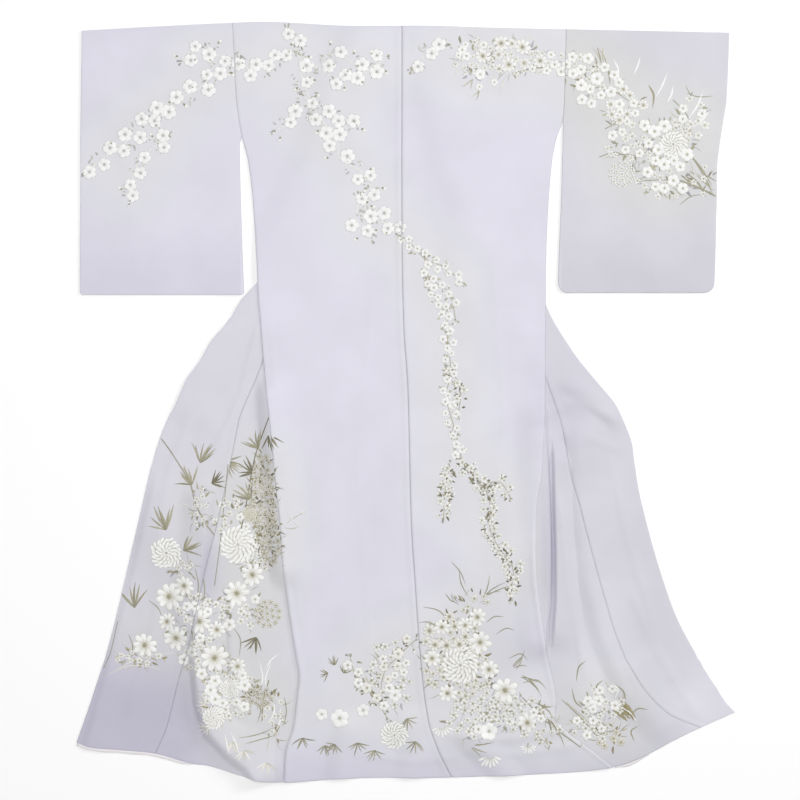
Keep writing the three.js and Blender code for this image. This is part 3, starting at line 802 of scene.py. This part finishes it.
def leaf(x, down, turn, long, half, colour=OLIVE, bend=0.0):
    tone = colour * between(0.8, 1.25)
    petal(x, down, turn, 0, long, half, "lance", 0.45, tone * 0.7, tone, bend)


def fan(x, down, turn, long, leaves=6, spread=1.9, colour=OLIVE):
    """Narrow bamboo leaves from one point."""
    for i in range(leaves):
        a = turn + (i / (leaves - 1) - 0.5) * spread + between(-0.08, 0.08)
        size = long * between(0.75, 1.1)
        leaf(x, down, a, size, size * 0.035 + 0.6, colour, between(-0.25, 0.25))


def grass(x, down, turn, long, blades=4, colour=OLIVE):
    for _ in range(blades):
        a = turn + between(-0.35, 0.35)
        at = x + between(-6, 6), down + between(-4, 4)
        leaf(*at, a, long * between(0.6, 1.1), 1.3, colour, between(-0.5, 0.5))


FLOWERS = {"plum": plum, "daisy": daisy, "mum": mum, "ball": ball, "star": star}


def flower(kind, x, down, r, **colours):
    spots.append((x, down, r))
    FLOWERS[kind](x, down, r, **colours)


def branch(line, r, gap, spread, kind="plum", twig=KHAKI, leaves=0, tone=OLIVE, thick=1.0, **colours):
    """Flowers that sit by turns on both sides of a twig, buds and small leaves between them."""
    stem(line, thick, twig)
    at, length = curve(line)
    ends = np.reshape(line, (-1, 2))
    for end, before in ((ends[0], ends[1]), (ends[-1], ends[-2])):
        a = math.atan2(end[1] - before[1], end[0] - before[0])
        for _ in range(4):
            b, reach = a + between(-0.7, 0.7), between(0, 11)
            bud(*around(*end, reach, b), between(1.6, 2.8), b, OLIVE, chance.choice((GREY, KHAKI, WHITE)))
    s, side = 0.4 * gap, 1
    while s < length:
        (x, down), (next_x, next_down) = map(float, at(s)), map(float, at(s + 2))
        a = math.atan2(next_down - down, next_x - x) + side * QUARTER + between(-0.4, 0.4)
        size = r * between(0.85, 1.1)
        fx, fd = around(x, down, spread * between(0.2, 1), a)
        if free(fx, fd, size, 0.78):
            flower(kind, fx, fd, size, **colours)
        b = a + between(1.8, 4)
        if chance.random() < 0.45:
            tip = around(x, down, size * between(1.2, 1.7), b)
            stem([x, down, *tip], 0.6, twig)
            bud(*tip, 0.2 * r + 1, b)
        for _ in range(leaves):
            c = between(0, WHOLE)
            leaf(*around(x, down, 0.9 * size, c), c, between(6, 13), 2.3, tone, 0.3)
            if chance.random() < 0.5:
                bud(*around(x, down, 1.1 * size, c + 0.5), 0.1 * r + 0.7, c, KHAKI, twig)
        s += gap * between(0.75, 1.2)
        side = -side


def bed(x, down, rx, rd, leaves, kinds, tone=OLIVE, slim=False, **colours):
    """Flowers scattered in an oval, as kind, radius and count in turn, with leaves among them."""

    def somewhere(wide=1):
        a, q = between(0, WHOLE), math.sqrt(chance.random())
        return a, x + wide * rx * q * math.cos(a), down + wide * rd * q * math.sin(a)

    for kind, r, count in zip(kinds[::3], kinds[1::3], kinds[2::3]):
        made = tries = 0
        while made < count and tries < TRIES * count:
            tries += 1
            _, fx, fd = somewhere()
            size = r * between(0.8, 1.15)
            if free(fx, fd, size, 0.72):
                flower(kind, fx, fd, size, **colours)
                made += 1
    for i in range(int(leaves)):
        a, lx, ld = somewhere(1.05)
        long, turn, bend = between(8, 17), a + between(-1, 1), between(-0.5, 0.5)
        colour = (tone, KHAKI, tone, GREY if tone is OLIVE else GOLD)[i % 4]
        if i % 3 == 2:
            leaf(lx, ld, turn, 1.7 * long, 0.7, colour, 1.5 * bend)
        else:
            leaf(lx, ld, turn, long, 1.2 if slim else between(1.5, 2.9), colour, bend)


def flowers(text):
    """Flowers as kind, place, radius and, where they aren't the kind's own, edge and body."""
    for kind, x, down, r, *both in typed(text):
        flower(kind, x, down, r, **dict(zip(("edge", "body"), both)))


def beds(text, dark=None, **colours):
    """Beds as place, reach across and down, leaves, tone and flowers. dark: what differs for dark ones."""
    for x, down, rx, rd, leaves, tone, *kinds in typed(text):
        bed(x, down, rx, rd, leaves, kinds, tone, **{**colours, **(dark or {} if tone is DARK else {})})


def each(sew, text, *more):
    """Sews what every row places, all with the same further values."""
    for row in typed(text):
        sew(*row, *more)


def curls(half, colour, text):
    for line in typed(text):
        curl(line, half, colour)


def stems(text):
    """Stems as half width, thread and points."""
    for half, colour, *line in typed(text):
        stem(line, half, colour)


def plum_on_the_left():
    for gap, spread, *line in typed("""
    21 17 -653 300 -600 262 -540 215 -486 161 -422 130 -367 84 -332 66
    23 15 -556 356 -548 292 -517 253 -480 226, 24 14 -450 70 -420 48 -395 52 -345 70 -297 90 -262 66 -214 44
    22 15 -232 4 -214 44 -206 100 -192 150 -231 196 -258 214, 22 17 -208 58 -150 98 -115 106 -86 100 -33 66
    20 18 -200 142 -165 190 -132 236 -124 274 -86 295 -60 325 -76 371 -30 405 -4 428
    23 13 -84 350 -92 398 -62 436, 25 10 -180 190 -140 182 -98 196, 25 10 -160 60 -120 62 -96 80
    22 12 24 84 54 56 92 42
    """):
        branch(
            line, 15.5, gap, spread,
            twig=mix(SHADE, WHITE, 0.8), leaves=2, tone=SHADE, thick=1.8, edge=GREY, heart=SHADE,
        )


def cascade():
    """Small greyer flowers that run down the right back."""
    for gap, spread, *line in typed("""
    13 12 0 433 22 450 48 476 92 496 124 526
    12 12 48 476 64 542 94 600 96 645 103 715 93 758 111 830 126 892
    8 17 126 892 158 933 182 974 184 1036 205 1077 229 1108 230 1176, 9 12 100 905 91 954 88 1010
    10 10 168 940 204 938 224 966, 20 9 60 520 100 548 112 600, 17 8 96 700 122 740 118 800
    """):
        if line[1] > 690:
            branch(line, 9, gap, spread, "star", KHAKI, 2, DARK, edge=KHAKI)
        else:
            branch(line, 9, gap, spread, "plum", KHAKI, 1, KHAKI, edge=SHADE)


def right_shoulder():
    flowers("""
    daisy 206 34 19, daisy 250 42 18, daisy 168 60 17, daisy 222 78 17, daisy 286 70 16, mum 560 242 30
    ball 455 303 28
    """)
    beds("""
    150 62 42 40 34 OLIVE plum 9 5 star 7 14 ball 13 2
    225 62 50 36 30 OLIVE daisy 13 4 star 8 10
    290 72 34 22 14 OLIVE plum 10 4 star 8 5
    352 78 42 26 10 OLIVE plum 13 6 star 8 5
    406 112 46 34 12 OLIVE plum 13 8 star 8 6
    458 160 42 40 16 OLIVE daisy 14 7 plum 11 5
    470 235 50 46 34 OLIVE plum 12 6 star 8 9
    545 240 56 46 60 OLIVE plum 13 7 star 8 14
    598 190 30 50 18 OLIVE star 9 6 plum 11 3
    545 318 60 34 44 OLIVE plum 12 6 star 8 8
    """, edge=KHAKI, heart=KHAKI)
    for x, down, turn, long in typed("163 118 1.9 34, 146 108 2.3 30, 418 80 -1.8 46, 610 300 0.7 60"):
        grass(x, down, turn, long, 3, KHAKI if down < 200 else OLIVE)
    curls(1.0, OLIVE, """
    384 131 413 124 445 136 480 162, 503 307 521 289 548 282, 489 318 525 315 592 317
    572 368 597 349 623 345, 588 137 614 144 646 142, 404 43 409 58 413 74, 430 270 460 262 496 270
    436 204 453 198 480 203, 240 94 266 86 306 82, 330 96 352 104 380 118, 520 262 540 276 560 300
    """)
    curls(1.2, CREAM, """
    132 80 116 92 106 110, 221 97 208 120 204 142, 190 96 188 112 194 132, 240 30 262 22 284 34
    """)
    for x, down, r in typed("163 98 12, 161 124 8, 192 114 8, 372 150 12, 392 158 11"):
        flower("plum", x, down, r)
    for line in typed("""
    595 262 620 300 636 328, 590 318 625 338 652 350, 420 210 450 196 478 205, 408 268 440 258 470 270
    560 150 585 176 600 205, 240 96 270 86 310 84
    """):
        stem(line, 1.0, OLIVE)
    bed(630, 318, 30, 30, 14, ("star", 7, 4), DARK, slim=True)
    curls(2.1, WHITE, """
    492 62 487 80 478 99, 548 93 538 120 522 148, 622 130 610 162 585 198, 560 120 556 140 546 158
    436 66 446 84 448 104, 636 170 622 190 600 208
    """)
    curls(2.2, OLIVE, """
    595 262 618 292 640 326, 564 312 605 328 650 348, 588 300 612 322 628 350, 418 74 428 94 430 118
    400 62 404 84 400 104, 510 120 520 140 518 168
    """)


def left_front():
    for x, down, turn, long in typed("""
    -413 898 -1.3 44, -430 943 -2.1 46, -293 868 -2.2 40, -303 918 -2.7 38, -308 973 -2.4 42
    -360 893 0.6 40, -483 1036 -2.0 52, -448 1078 -0.6 40, -548 1196 -1.9 50, -298 1256 1.9 34
    -390 940 -0.4 30, -272 840 1.2 36
    """):
        fan(x, down, turn, long, 7, 1.5, OLIVE if long > 38 else DARK)
    stems("""
    1.3 OLIVE -493 848 -468 883 -433 943 -423 978 -403 1018 -383 1048
    1.2 DARK -270 800 -300 883 -316 968 -330 1040
    0.9 OLIVE -356 900 -364 980 -372 1060 -384 1150
    0.8 OLIVE -583 1223 -598 1288 -612 1320
    """)
    curls(1.1, CREAM, """
    -613 1337 -583 1323 -538 1298 -483 1290 -433 1298, -588 1325 -553 1315 -513 1318 -485 1328
    -430 1263 -393 1255 -353 1273, -466 990 -448 982 -430 988, -376 952 -360 975 -352 998
    """)
    curls(1.7, WHITE, """
    -293 1303 -285 1340 -293 1370, -266 1306 -279 1340 -276 1364, -250 1290 -268 1304 -280 1326
    -262 1380 -262 1412 -276 1436, -248 1400 -250 1432 -262 1456, -404 1378 -388 1384 -372 1398
    -398 1360 -384 1372 -370 1392, -350 1450 -338 1474 -330 1500, -362 1452 -356 1478 -352 1496
    """)
    curls(1.1, OLIVE, """
    -423 1112 -416 1150 -424 1196, -410 1120 -404 1160 -412 1200, -288 1385 -289 1410 -296 1434
    -333 1462 -293 1456 -256 1440, -320 1474 -286 1466 -250 1456, -520 1180 -500 1196 -492 1216
    -560 1250 -552 1276 -556 1304, -344 1236 -330 1262 -334 1300, -240 1380 -236 1410 -242 1440
    """)
    flowers("""
    mum -483 1083 34 OLIVE WHITE, mum -336 1066 40 KHAKI WHITE, ball -275 1208 30 DARK CREAM
    ball -284 945 19 GOLD CREAM, ball -276 1006 21 GOLD CREAM, mum -312 1004 17 GOLD CREAM
    mum -384 1420 24 KHAKI WHITE, mum -352 1362 22 KHAKI WHITE
    """)
    for x, down, r in typed("""
    -478 1173 31, -446 1150 22, -338 1166 29, -306 1128 26, -463 1258 27, -528 1273 28, -383 1298 30
    -413 1222 25, -482 1224 20, -378 1240 19, -336 1316 18
    """):
        flower("daisy", x, down, r, petals=9, edge=KHAKI)
    beds("""
    -284 960 24 80 110 DARK star 7 26, -272 1060 24 46 80 DARK star 8 20, -300 1085 30 40 44 OLIVE star 8 12
    -414 990 15 42 26 OLIVE star 6 9, -345 1010 40 40 34 OLIVE star 8 9 plum 10 2
    -448 1118 26 16 14 OLIVE star 7 5, -330 1196 40 44 30 OLIVE star 9 8 plum 12 2
    -420 1220 66 50 56 OLIVE star 8 12 plum 12 4, -540 1296 50 16 30 KHAKI star 7 9
    -400 1300 50 30 26 KHAKI plum 11 3 star 8 8, -296 1378 30 20 30 DARK star 6 20
    -350 1370 54 54 50 KHAKI plum 12 8 star 8 12, -262 1420 22 50 30 KHAKI star 7 8
    """, {"edge": DARK, "body": mix(CREAM, SHADE, 0.25)}, edge=KHAKI)
    each(fan, "-398 1392 2.9, -346 1469 1.4, -276 1512 1.6, -395 1440 2.6, -322 1486 1.3", 28, 7, 2.2, CREAM)
    stems("1.2 GOLD -286 1428 -284 1390 -272 1345")
    each(half_flower, "-228 1012 8 -0.7, -218 1022 9 0.6, -206 1002 7 -0.4, -198 1016 7 0.2", 5)
    curls(0.8, KHAKI, "-236 1022 -216 1008 -192 996, -240 1030 -222 1032 -206 1026")


def hem_on_the_back():
    each(fan, "-136 1314 -2.0, -118 1331 -1.2, -150 1330 2.9", 20, 5, 1.8, OLIVE)
    first, second = typed("-72 1352 -48 1388 -34 1329 0 1290 30 1262, -104 1300 -92 1340 -60 1372 -30 1420")
    branch(first, 12, 20, 15, leaves=2, tone=DARK, edge=OLIVE, body=IVORY)
    branch(second, 12, 22, 14, leaves=2, edge=OLIVE)
    flowers("""
    plum -126 1423 20, plum -163 1415 13, mum -14 1458 30, plum -78 1407 14, plum -12 1376 14
    mum 122 1314 40, daisy 157 1215 20, daisy 163 1267 25, daisy 84 1236 18, daisy 132 1232 17
    daisy 181 1323 22, daisy 214 1366 29, daisy 260 1432 23, plum 181 1450 19, daisy 96 1372 20
    daisy 64 1300 19
    """)
    beds("""
    -24 1340 44 78 30 OLIVE star 9 14 plum 11 5, 146 1190 34 26 22 DARK star 8 5
    104 1262 56 50 44 DARK daisy 14 7 star 10 16, 120 1330 70 50 50 DARK star 10 20 daisy 13 6
    170 1385 60 40 40 OLIVE star 10 18 daisy 13 6, 236 1412 56 36 34 OLIVE star 9 14 plum 12 5
    150 1430 60 34 24 OLIVE star 9 9 plum 11 4, 290 1450 40 30 22 KHAKI star 8 7
    """, {"body": IVORY}, edge=OLIVE)
    each(half_flower, "84 1440 25, 183 1500 28, 262 1478 20", 1.5)
    each(fan, """
    -202 1463 1.6, -157 1479 1.3, -136 1476 2.0, -89 1473 1.6, -54 1489 1.7, 12 1423 1.2, 30 1470 1.8
    """, 27, 6, 2.2, OLIVE)
    each(grass, """
    170 1175 -0.9 50, 245 1335 0.4 56, 232 1320 -0.7 44, 280 1388 0.7 60, 300 1420 0.9 70, 146 1479 0.3 44
    60 1310 -2.4 40
    """, 4, OLIVE)
    curls(1.2, OLIVE, """
    103 1100 122 1122 134 1150, 92 1166 102 1180 116 1186, 46 1194 78 1202 102 1228
    176 1226 192 1214 212 1214, 120 1120 124 1146 140 1176, 36 1226 60 1226 82 1244
    196 1250 216 1238 234 1242, 222 1300 246 1290 262 1304, 250 1350 280 1344 300 1364
    """)
    stems("""
    1.4 DARK 150 1200 140 1240 128 1290
    1.2 OLIVE 250 1380 300 1430 369 1482
    """)


def right_front():
    curls(1.5, OLIVE, """
    415 1345 403 1360 426 1386, 361 1347 366 1318 382 1304, 472 1420 486 1403 508 1404
    480 1470 474 1450 490 1438, 426 1386 440 1410 470 1424, 352 1362 360 1390 384 1408
    390 1440 420 1452 452 1444, 330 1384 372 1424 412 1470, 440 1352 458 1368 462 1392
    """)
    curls(2.2, WHITE, """
    434 1350 446 1362 440 1384, 400 1366 396 1390 410 1410, 452 1400 470 1410 486 1430
    """)
    each(leaf, """
    448 1380 0.9 46, 456 1388 0.8 42, 440 1392 0.7 46, 452 1404 0.4 36, 436 1404 0.6 40, 466 1396 1.1 34
    """, 4.4, GOLD, 0.1)
    beds("418 1392 40 34 30 OLIVE plum 11 6 star 8 9", edge=KHAKI)
    beds("388 1440 42 34 30 KHAKI plum 10 4 star 8 11", edge=OLIVE)
    beds("430 1462 30 20 16 GOLD star 8 5", edge=GOLD, body=CREAM)
    stems("0.9 KHAKI 340 1390 384 1430 420 1480")


for design in (plum_on_the_left, cascade, right_shoulder, left_front, hem_on_the_back, right_front):
    design()


def colour_layer(mesh, colours):
    layer = mesh.color_attributes.new("tone", "FLOAT_COLOR", "POINT")
    rgba = np.concatenate([np.clip(colours, 0, 1), np.ones((len(colours), 1))], 1)
    layer.data.foreach_set("color", rgba.astype(np.float32).ravel())


stitched = {}
for owner, (points, faces, colours, threads) in work.items():
    obj = add_mesh(owner + "_embroidery", to_frame(points).tolist(), faces)
    mesh = obj.data
    colour_layer(mesh, np.array(colours))
    corners = np.zeros(len(mesh.loops), int)
    mesh.loops.foreach_get("vertex_index", corners)
    uv = (np.array(threads) / 1000)[corners].astype(np.float32).ravel()
    mesh.uv_layers.new(name="thread").data.foreach_set("uv", uv)
    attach(obj, "root")
    stitched[owner] = obj

# ---------------------------------------------------------------- colour of the cloth
LAVENDER, PALE, DEEP = srgb(209, 208, 220), srgb(211, 211, 215), srgb(183, 181, 196)
FRONT_LAVENDER, FRONT_PALE = srgb(203, 202, 211), srgb(203, 203, 206)
LINING = srgb(224, 220, 222)
PALE_REACH = 60  # how far from a flower the ground is paler

# Which of a panel's border columns are sewn, and how dark the needle line is there.
SEWN = {"back": ((-1, 0.66), (0, 0.86)), "front": ((-1, 0.8),), "okumi": ((0, 0.8),), "sleeve": ((0, 0.88),)}
SOFT_SEAM = 0.45  # how much fainter the needle line is at the right front's overlap
# Panels that are a little greyer or paler than the rest.
SHADED = {
    "sleeve_right_silk": np.array([0.93, 0.93, 0.9]),
    "front_left_silk": np.array([1.035, 1.035, 1.03]),
    "okumi_left_silk": np.array([1.02, 1.015, 1.02]),
}
# Clouds of deeper lavender: where, how far across and down, and how strong. Some are dye. Others are painted
# shade in the hollows of folds and pleats: beside the left front's seam roll, along the hip fold, beside the
# back's left edge, beside the back's right edge and down the right pleat's line.
DYE_AND_PAINTED_SHADE = typed("""
    -398 1120 26 90 0.75, -540 1060 30 160 0.3, -430 1200 60 60 0.35, -420 1430 34 80 0.9, -500 1130 60 90 0.3
    -278 960 22 110 0.12, 312 1080 5 130 1.3, 298 1070 12 160 0.5, 190 1290 110 120 0.2, 180 1500 130 60 0.35
    340 800 60 120 0.35
""")
# Clouds of paler ground, the same way. On the right front near the hem, at its lower corner and at the end of
# its roll, they are painted light.
PALE_GROUND_AND_PAINTED_LIGHT = typed("630 1400 70 80 0.13, 410 1310 50 90 0.13, 245 1390 70 50 0.07")


def tones(obj):
    """Lavender that pales round the flowers and deepens at the lower left corner and along the hem, with
    painted shade in the hollows of folds and pleats and painted light on the right front near the hem.
    """
    co = np.zeros(len(obj.data.vertices) * 3)
    obj.data.vertices.foreach_get("co", co)
    co = co.reshape(-1, 3)
    x, down = co[:, 0] * 1000 + ORIGIN_X, ORIGIN_DOWN - co[:, 1] * 1000

    def cloud(cx, cd, rx, rd):
        return np.exp(-(((x - cx) / rx) ** 2) - ((down - cd) / rd) ** 2)

    near = np.zeros(len(x))
    for sx, sd, r in spots:
        near += r * np.exp(-((x - sx) ** 2 + (down - sd) ** 2) / PALE_REACH**2)
    pale = 1 - np.exp(-near / 30)
    # Deeper at the lower left corner, along the hem, in the clouds of dye and of painted shade, and at the
    # sleeves' lower ends
    deep = smooth(1240, 1430, down + 0.28 * (-x - 420)) * smooth(330, 470, -x)
    deep = np.maximum(deep, 0.35 * smooth(1440, 1540, down) * (x > -260) * (1 - smooth(430, 560, x)))
    for *where, share in DYE_AND_PAINTED_SHADE:
        deep = np.maximum(deep, share * cloud(*where))
    deep = np.maximum(deep, 0.3 * smooth(380, 545, down) * (np.abs(x) > 330) * (down < 560))
    front = obj.name.startswith(("front", "okumi"))
    plain, light = (FRONT_LAVENDER, FRONT_PALE) if front else (LAVENDER, PALE)
    base = mix(mix(plain, light, pale[:, None]), DEEP, deep[:, None])
    if obj.name.startswith("hem_roll"):
        base = np.repeat(LINING[None], len(x), 0)
    base = base * SHADED.get(obj.name, 1)
    # Painted light: paler clouds on the right front near the hem, and paler ground on the back.
    for *where, share in PALE_GROUND_AND_PAINTED_LIGHT:
        base = base * (1 + share * cloud(*where))[:, None]
    column = np.arange(len(x)) % obj["columns"]
    for border, dark in SEWN.get(obj.name.split("_")[0], ()):
        if obj.name in ("front_right_silk", "okumi_right_silk"):
            dark = mix(dark, 1, SOFT_SEAM)
        inward = np.abs(column - border % obj["columns"])
        base = base * np.where(inward == 0, dark, np.where(inward == 1, (1 + dark) / 2, 1))[:, None]
    return base


for obj in panels.values():
    colour_layer(obj.data, tones(obj))


# ---------------------------------------------------------------- materials
def feed(tree, node, inputs):
    """Sets inputs by name or number, to a value or to another node's output."""
    for name, value in inputs.items():
        if isinstance(value, bpy.types.NodeSocket):
            tree.links.new(value, node.inputs[name])
        else:
            node.inputs[name].default_value = value


def make(tree, kind, inputs=None, **settings):
    """A shader node."""
    node = tree.nodes.new("ShaderNode" + kind)
    for name, value in settings.items():
        setattr(node, name, value)
    feed(tree, node, inputs or {})
    return node.outputs


def material(name, inputs):
    """A material with its node tree and its surface node."""
    mat = bpy.data.materials.new(name)
    mat.use_nodes = True
    tree = mat.node_tree
    bsdf = tree.nodes["Principled BSDF"]
    feed(tree, bsdf, inputs)
    return mat, tree, bsdf


def cloth_material(name, roughness, sheen):
    sheens = {"Sheen Weight": sheen, "Sheen Roughness": 0.5}
    return material(name, {"Roughness": roughness, "Specular IOR Level": 0.35, **sheens})


def noise(tree, source, scale, detail, stretch=(1, 1, 1)):
    at = make(tree, "Mapping", {"Scale": stretch, "Vector": source})["Vector"]
    return make(tree, "TexNoise", {"Scale": scale, "Detail": detail, "Vector": at})["Fac"]


def tinted(tree, bsdf, fac, low, high):
    """The tone attribute, made a little lighter and darker by a texture."""
    tone = make(tree, "Attribute", attribute_name="tone")["Color"]
    shift = {"From Min": 0.3, "From Max": 0.7, "To Min": low, "To Max": high, "Value": fac}
    share = make(tree, "MapRange", shift)["Result"]
    scaled = make(tree, "VectorMath", {0: tone, "Scale": share}, operation="SCALE")
    feed(tree, bsdf, {"Base Color": scaled["Vector"]})


def bump(tree, bsdf, height, strength, distance, under=None):
    inputs = {"Strength": strength, "Distance": distance, "Height": height}
    if under is not None:
        inputs["Normal"] = under
    normal = make(tree, "Bump", inputs)["Normal"]
    feed(tree, bsdf, {"Normal": normal})
    return normal


def silk_crepe(name):
    """Smooth crepe: fine threads both ways, a slightly crinkled grain, and cloudy dyeing."""
    mat, tree, bsdf = cloth_material(name, 0.55, 0.25)
    where = make(tree, "TexCoord")["Object"]
    tinted(tree, bsdf, noise(tree, where, 9, 4), 0.965, 1.03)
    warp = bump(tree, bsdf, noise(tree, where, 900, 2, (1, 0.12, 1)), 0.25, 0.0002)
    weft = bump(tree, bsdf, noise(tree, where, 900, 2, (0.12, 1, 1)), 0.25, 0.0002, warp)
    crinkle = noise(tree, where, 260, 3)
    bump(tree, bsdf, crinkle, 0.2, 0.0004, weft)
    rough = make(tree, "MapRange", {"To Min": 0.48, "To Max": 0.66, "Value": crinkle})
    feed(tree, bsdf, {"Roughness": rough["Result"]})
    return mat


def satin_stitch(name):
    """Silk thread laid side by side across each petal and leaf."""
    mat, tree, bsdf = cloth_material(name, 0.42, 0.15)
    where = make(tree, "TexCoord")
    thread = make(tree, "TexWave", {"Scale": 320, "Distortion": 1.5, "Vector": where["UV"]})
    tinted(tree, bsdf, noise(tree, where["Object"], 700, 2), 0.93, 1.06)
    bump(tree, bsdf, thread["Fac"], 0.35, 0.0003)
    return mat


silk, thread = silk_crepe("silk crepe"), satin_stitch("silk thread")
for obj in panels.values():
    obj.data.materials.append(silk)
for obj in stitched.values():
    obj.data.materials.append(thread)

# ---------------------------------------------------------------- sheets
# Each piece's cut: width and length in metres, the share of that rectangle it fills, and how it lies.
CUTS = typed("""
    back_left 0.38 1.60 0.79 laid front_left
    back_right 0.38 1.60 0.78 laid front_right
    front_left 0.38 1.58 0.68 folded floor
    front_right 0.38 1.58 0.63 folded floor
    okumi_left 0.175 1.34 0.66 laid floor
    okumi_right 0.165 1.34 0.55 laid floor
    sleeve_left 0.34 1.12 0.97 folded floor
    sleeve_right 0.34 1.11 0.95 folded floor
    collar 0.11 1.90 0.98 folded floor
    hem_roll_left 0.01 0.245 0.68 laid floor
    hem_roll_right 0.01 0.08 0.55 laid floor
""")

# ---------------------------------------------------------------- stage
floor = add_mesh("floor", [(-6, -6, 0), (6, -6, 0), (6, 6, 0), (-6, 6, 0)], [(0, 1, 2, 3)])
paper, _, _ = material("white floor", {"Base Color": (0.95, 0.95, 0.95, 1), "Roughness": 0.9})
floor.data.materials.append(paper)

world = bpy.data.worlds.new("studio")
world.use_nodes = True
feed(world.node_tree, world.node_tree.nodes["Background"], {"Color": (1, 1, 1, 1), "Strength": 0.28})
bpy.context.scene.world = world


def lamp(name, place_at, size, power):
    """A square lamp that looks at the origin."""
    light = bpy.data.lights.new(name, "AREA")
    light.size = size
    light.energy = power
    obj = add(name, light)
    obj.location = place_at
    obj.rotation_mode = "QUATERNION"
    obj.rotation_quaternion = (-Vector(place_at)).to_track_quat("-Z", "Y")


lamp("key", (-0.3, 0.5, 6.0), 1.6, 235)
lamp("side", (4.6, 2.6, 2.4), 1.4, 130)
lamp("fill", (-5.0, -3.0, 3.2), 2.5, 18)
bpy.context.scene.view_settings.view_transform = "Standard"

camera = bpy.data.cameras.new("camera")
LENS, SENSOR, FIELD = 85, 36, 1.648  # millimetres, and metres of floor in the picture
camera.lens, camera.sensor_width = LENS, SENSOR
view = add("camera", camera)
view.location = (-0.012, 0.005, FIELD * LENS / SENSOR)
bpy.context.scene.camera = view
